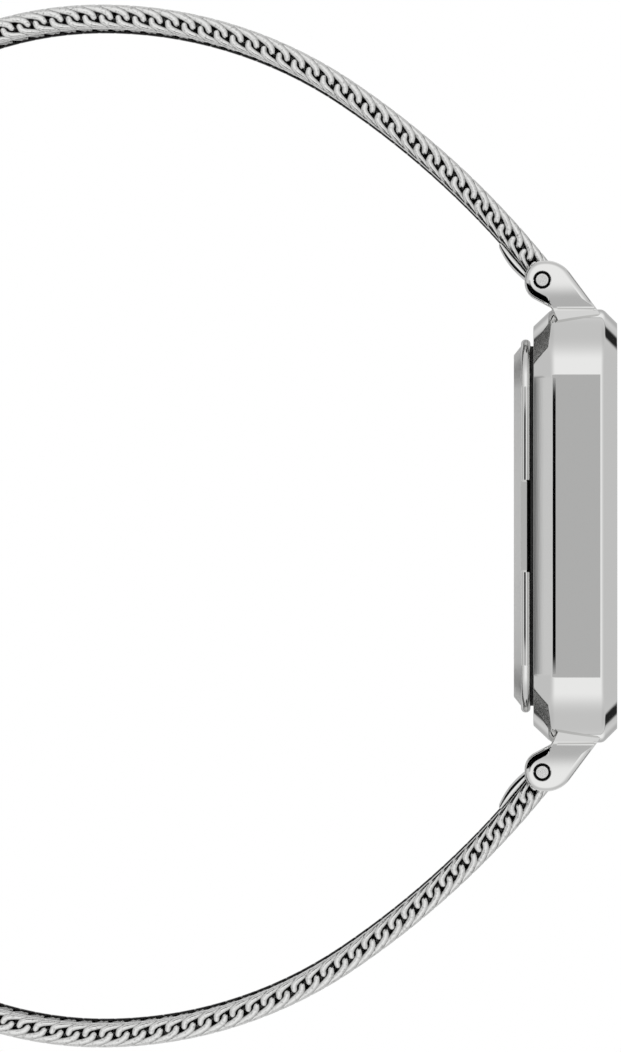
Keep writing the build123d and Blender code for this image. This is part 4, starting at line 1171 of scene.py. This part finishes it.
def hand_grids(sizes, kind):
    """A hand's tail, blade and boss. The tail and the blade have low sides and a ridge, and
    their width falls in a straight line from end to end. The boss is a ring turned round Z."""
    length, width, boss, bore, low, turn = (
        getattr(sizes, f"{kind}_{name}") for name in ("length", "width", "boss", "bore", "low", "angle")
    )
    edge = sizes.edge
    tail = sizes.tail
    clear = bore + edge
    top = low + sizes.thickness
    side = low + sizes.thickness / 2
    ridge = sizes.ridge
    section = np.array([(-1, low), (1, low), (1, side), (ridge, top), (-ridge, top), (-1, side)])
    grids = []
    for along, width_shares in (
        ([-tail, -tail, edge - tail, -clear, -clear], [0, sizes.end, 1, 1, 0]),
        ([clear, clear, length - edge, length, length], [0, 1, 1, sizes.end, 0]),
    ):
        along = np.array(along)[:, None]
        narrowing = 1 + (sizes.tip - 1) * (along + tail) / (length + tail)
        half = width / 2 * narrowing * np.array(width_shares)[:, None]
        z = np.where(half > 0, section[:, 1], (low + side) / 2)
        x, y = clockwise(along, half * section[:, 0], turn)
        grids.append((np.stack([x, y, z], axis=-1), False, True))
    corners = [(low, bore), (low, boss), (top, boss), (top, bore)]
    ring = revolve(fillet(corners, [0, 0, edge, 0], 4), (0, 0), 48)[..., [1, 2, 0]]
    return grids + [(ring, True, True)]


class WATCH_OT_hands(bpy.types.Operator):
    """Make the two hands, each a ridged blade on a boss"""

    bl_idname = "watch.hands"
    bl_label = "Hands"

    def execute(self, context):
        for kind in ("hour", "minute"):
            grids = hand_grids(context.scene.watch_hands, kind)
            hand = add_piece(f"{kind}_hand_polished", grids, "polished_steel")
            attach(hand, kind)
            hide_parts(f"{kind}_hand")
        return {"FINISHED"}


class WATCH_OT_finishes(bpy.types.Operator):
    """Give every node of the frame the finish of its slot"""

    bl_idname = "watch.finishes"
    bl_label = "Finishes"

    def execute(self, context):
        colours = context.scene.watch_colours
        made = materials_by_slot(colours)
        satin_steel(colours)
        # Painted shade for steel deep in a narrow gap, where no light gets: black with a dull grain of 0.05
        # mm
        plain_material("shadowed steel", colours.shadow, 0.0, 0.7, 0.9, 0.05 * MM, 0.1)
        context.scene["slot_materials"] = {slot: material.name for slot, material in made.items()}
        frame["nodes"]["crystal"].visible_shadow = False
        for part in frame["record"]["subparts"]:
            mesh = frame["nodes"][part["node"]].data
            mesh.materials.clear()
            mesh.materials.append(made[part["material_slot"]])
        return {"FINISHED"}


# Stage
class StageSizes(bpy.types.PropertyGroup):
    """Sizes of the studio"""

    distance: size("Distance", 1700, "Distance of the camera from the lugs")
    camera_z: size("Camera height", 0.0, "Height of the camera in the watch's frame")
    aim_z: size("Aim", -12.2, "Height at the picture's middle")
    picture: size("Picture", 63.12, "Height of the picture at the lugs")
    floor_radius: size("Floor", 300, "Radius of the floor")


def fade(tree, value, *ramps):
    """A value times smooth ramps. Each ramp says what it runs on, where it starts and ends,
    and the factors at its start and its end."""
    for ramp in ramps:
        inputs = dict(zip(("Value", "From Min", "From Max", "To Min", "To Max"), ramp))
        step = add_node(tree, "ShaderNodeMapRange", (-500, 0), inputs, interpolation_type="SMOOTHSTEP")
        value = add_node(tree, "ShaderNodeMath", (-400, 0), {0: value, 1: step}, operation="MULTIPLY")
    return value


def studio_world(world):
    """The studio that glossy rays see: light in front and behind, greyer towards the two
    axes across, with a dark ring where the sweep's edge stands. Camera and transmission
    rays see white, and diffuse rays an even light. Each ramp runs on one part of a ray's
    direction."""
    world.use_nodes = True
    tree = world.node_tree
    tree.nodes.clear()
    place = add_node(tree, "ShaderNodeTexCoord", (-1200, 0)).outputs["Generated"]
    parts = add_node(tree, "ShaderNodeSeparateXYZ", (-1000, 0), {"Vector": place}).outputs
    x = parts["X"]
    away_y, away_z = (
        add_node(tree, "ShaderNodeMath", (-800, 0), {0: parts[axis]}, operation="ABSOLUTE") for axis in "YZ"
    )
    front = fade(tree, 1.0, (away_y, 0.5, 0.99, 1, 0.66), (away_z, 0.1, 0.95, 1, 0.64), (x, 0.5, 0.62, 1, 0))
    behind = fade(tree, 1.0, (x, 0.5, 0.6, 0, 1), (away_z, 0.2, 0.7, 1, 0.6), (x, 0.7, 0.92, 1, 0.5))
    ends = [(x, 0.28, 0.36, 0, 1), (x, 0.52, 0.62, 1, 0)]
    ring = fade(tree, 0.97, *ends, (away_y, 0.54, 0.66, 1, 0), (away_z, 0.8, 0.92, 1, 0))
    rest = add_node(tree, "ShaderNodeMath", (-300, 0), {0: 1.0, 1: ring}, operation="SUBTRACT")
    light = add_node(tree, "ShaderNodeMath", (-300, 200), {0: front, 1: behind}, operation="MAXIMUM")
    seen = add_node(tree, "ShaderNodeMath", (-200, 0), {0: light, 1: rest}, operation="MULTIPLY")
    path = add_node(tree, "ShaderNodeLightPath", (-600, 400)).outputs
    inputs = {0: path["Glossy Depth"], 1: 0.5}
    unmirrored = add_node(tree, "ShaderNodeMath", (-300, 400), inputs, operation="LESS_THAN")
    inputs = {0: path["Is Transmission Ray"], 1: unmirrored}
    through = add_node(tree, "ShaderNodeMath", (-200, 400), inputs, operation="MULTIPLY")
    inputs = {0: path["Is Camera Ray"], 1: through}
    clear = add_node(tree, "ShaderNodeMath", (-100, 400), inputs, operation="MAXIMUM")
    glossy, plain, white = (
        add_node(tree, "ShaderNodeBackground", (0, 0), {"Color": linear("#ffffff"), "Strength": strength})
        for strength in (seen, 0.72, 1.0)
    )
    inputs = {"Fac": path["Is Diffuse Ray"], 1: glossy, 2: plain}
    lit = add_node(tree, "ShaderNodeMixShader", (200, 0), inputs)
    last = add_node(tree, "ShaderNodeMixShader", (400, 0), {"Fac": clear, 1: lit, 2: white})
    add_node(tree, "ShaderNodeOutputWorld", (600, 0), {"Surface": last})
    world.cycles.sampling_method = "NONE"


# The cards that only reflections see, in millimetres: colour and strength, half length and
# softness in Y, the axis of its other fade with the low end, the high end and the softness,
# then a corner and two edges. A card faces the way of its second edge x its first.
CARDS = {
    "grey card": ("#bfbfbf", 1.0, (14.6, 0.5), "Z", (-60, 8, 0.8), (-63, -18, -40), (0, 0, 54), (0, 36, 0)),
    "black flag": (
        "#000000", 0.0, (8.8, 0.8), "Z", (-33, -2, 1.2), (-62.5, -18, -40), (0, 0, 54), (0, 36, 0)
    ),
    # Under the back, one lights the plate and two shade the bevel from its inner edge out
    "plate reflector": ("#ffffff", 0.7, (9.5, 1), "X", (-9, 9, 1), (-10, -11, -22), (0, 22, 0), (20, 0, 0)),
    "light reflector": ("#d8d8d8", 1.0, (9.5, 1), "X", (-45, -8, 1), (-46, -11, -21), (0, 22, 0), (40, 0, 0)),
    "shade reflector": (
        "#606060", 1.0, (9.5, 1), "X", (-13.55, -9.5, 0.5), (-15, -11, -20), (0, 22, 0), (7, 0, 0)
    ),
    # Beside the lugs, one each darkens the edges of their bellies
    "upper belly flag": (
        "#000000", 0.0, (20, 1), "Z", (-14, 1.5, 0.2), (-22, 11.5, -16), (16, 0, 0), (0, 0, 18)
    ),
    "lower belly flag": (
        "#000000", 0.0, (20, 1), "Z", (-14, 1.5, 0.2), (-22, -11.5, -16), (0, 0, 18), (16, 0, 0)
    ),
}


def card_material(name, colour, strength, across, axis, along):
    """A lit card whose edges fade: its cover is the product of one smooth step on the
    distance from the middle in Y and two on the place along the axis. Rays that come from
    behind pass through it."""
    material, tree, place = new_material(name)
    parts = add_node(tree, "ShaderNodeSeparateXYZ", (-700, 0), {"Vector": place}).outputs
    away = add_node(tree, "ShaderNodeMath", (-600, 0), {0: parts["Y"]}, operation="ABSOLUTE")
    behind = add_node(tree, "ShaderNodeNewGeometry", (-600, 400)).outputs["Backfacing"]
    cover = add_node(tree, "ShaderNodeMath", (-500, 400), {0: 1.0, 1: behind}, operation="SUBTRACT")
    half, soft_half = across
    low, high, soft = along
    edges = [(away, half, -soft_half), (parts[axis], low, soft), (parts[axis], high, -soft)]
    for value, middle, reach in edges:
        cover = fade(tree, cover, (value, (middle - reach) * MM, (middle + reach) * MM, 0, 1))
    lit = add_node(tree, "ShaderNodeEmission", (0, 200), {"Color": linear(colour), "Strength": strength})
    clear = add_node(tree, "ShaderNodeBsdfTransparent", (0, -200))
    mix = add_node(tree, "ShaderNodeMixShader", (200, 0), {"Fac": cover, 1: clear, 2: lit})
    add_node(tree, "ShaderNodeOutputMaterial", (600, 0), {"Surface": mix})
    return material


def add_card(name, colour, strength, across, axis, along, corner, first, second):
    """A flat card that only glossy rays see, with one corner and the two edges from it."""
    corner, first, second = (np.array(part) for part in (corner, first, second))
    grid = np.array([[corner, corner + second], [corner + first, corner + first + second]])
    points, quads = join_grids([(grid * MM, False, False)])
    mesh = bpy.data.meshes.new(name)
    mesh.from_pydata(points.tolist(), [], quads.tolist())
    card = add_object(name, mesh, card_material(name, colour, strength, across, axis, along))
    card.visible_camera = False
    card.visible_diffuse = False
    card.visible_shadow = False
    card.visible_transmission = False
    card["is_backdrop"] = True


def turn_back(thing, place, back):
    """Puts an object at a place with its own +Z turned to a direction and its top as near to
    +Y as can be: its axes are side = Y x back, back x side and back."""
    back = np.array(back) / np.linalg.norm(back)
    side = np.cross((0, 1, 0), back)
    side /= np.linalg.norm(side)
    matrix = np.eye(4)
    matrix[:3] = np.stack([side, np.cross(back, side), back, place], axis=1)
    thing.matrix_world = Matrix(matrix.tolist())


class WATCH_OT_stage(bpy.types.Operator):
    """Make the camera, the light, the cards and the floor"""

    bl_idname = "watch.stage"
    bl_label = "Stage"

    def execute(self, context):
        scene = context.scene
        sizes = scene.watch_stage
        scene.view_settings.view_transform = "Standard"
        scene.world = bpy.data.worlds.new("studio")
        studio_world(scene.world)
        lug_x = scene.watch_lugs.outer
        place = np.array([-sizes.distance - lug_x, 0, sizes.camera_z])
        camera = bpy.data.objects.new("camera", bpy.data.cameras.new("camera"))
        scene.collection.objects.link(camera)
        turn_back(camera, place, place - np.array([-lug_x, 0, sizes.aim_z]))
        camera.data.sensor_width = SENSOR
        camera.data.lens = SENSOR * sizes.distance / sizes.picture
        scene.camera = camera
        floor_z = min(CAD_BOX[0][2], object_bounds()[0][2])
        radius = np.array([0.0, 0.2, 0.6, 1.0])[:, None] * sizes.floor_radius
        turned = np.linspace(0, 2 * math.pi, 64, endpoint=False)
        x, y, z = np.broadcast_arrays(radius * np.cos(turned), radius * np.sin(turned), floor_z)
        grid = np.stack([x, y, z], axis=-1)
        paper = plain_material("matt paper", scene.watch_colours.floor, 0.0, 0.85, 0.95, 0.5 * MM, 0.02)
        floor = add_object("floor", make_mesh("floor", *join_grids([(grid, False, True)])), paper)
        floor.visible_glossy = False
        floor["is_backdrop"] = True
        for name, card in CARDS.items():
            add_card(name, *card)
        for name, spot, power, width in (
            ("key", (-0.35, 0.3, 0.5), 3.0, 0.4),
            ("fill", (0.4, -0.3, 0.4), 1.5, 0.5),
        ):
            lamp = bpy.data.objects.new(name, bpy.data.lights.new(name, "AREA"))
            lamp.data.energy = power
            lamp.data.size = width
            scene.collection.objects.link(lamp)
            turn_back(lamp, spot, spot)
            lamp.visible_glossy = False
            lamp.visible_transmission = False
        return {"FINISHED"}


class WATCH_PT_pieces(bpy.types.Panel):
    """Lists the watch's pieces"""

    bl_label = "Square wristwatch"
    bl_idname = "WATCH_PT_pieces"
    bl_space_type = "VIEW_3D"
    bl_region_type = "UI"
    bl_category = "Watch"

    def draw(self, context):
        for operator in OPERATORS:
            self.layout.operator(operator.bl_idname)


OPERATORS = (
    WATCH_OT_finishes,
    WATCH_OT_case,
    WATCH_OT_lugs,
    WATCH_OT_links,
    WATCH_OT_weave,
    WATCH_OT_crown,
    WATCH_OT_markers,
    WATCH_OT_hands,
    WATCH_OT_stage,
)
SETTINGS = {
    "watch_case": CaseSizes,
    "watch_lugs": LugSizes,
    "watch_band": BandSizes,
    "watch_crown": CrownSizes,
    "watch_dial": DialSizes,
    "watch_hands": HandSizes,
    "watch_colours": Finishes,
    "watch_stage": StageSizes,
}


def register():
    for group in SETTINGS.values():
        bpy.utils.register_class(group)
    for operator in OPERATORS:
        bpy.utils.register_class(operator)
    bpy.utils.register_class(WATCH_PT_pieces)
    for name, group in SETTINGS.items():
        setattr(bpy.types.Scene, name, bpy.props.PointerProperty(type=group))


def unregister():
    for name in SETTINGS:
        delattr(bpy.types.Scene, name)
    bpy.utils.unregister_class(WATCH_PT_pieces)
    for operator in OPERATORS[::-1]:
        bpy.utils.unregister_class(operator)
    for group in reversed(list(SETTINGS.values())):
        bpy.utils.unregister_class(group)


def main():
    """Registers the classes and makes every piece."""
    register()
    bpy.ops.watch.finishes()
    bpy.ops.watch.case()
    bpy.ops.watch.lugs()
    bpy.ops.watch.links()
    bpy.ops.watch.weave()
    bpy.ops.watch.crown()
    bpy.ops.watch.markers()
    bpy.ops.watch.hands()
    bpy.ops.watch.stage()


if __name__ == "__main__":
    main()
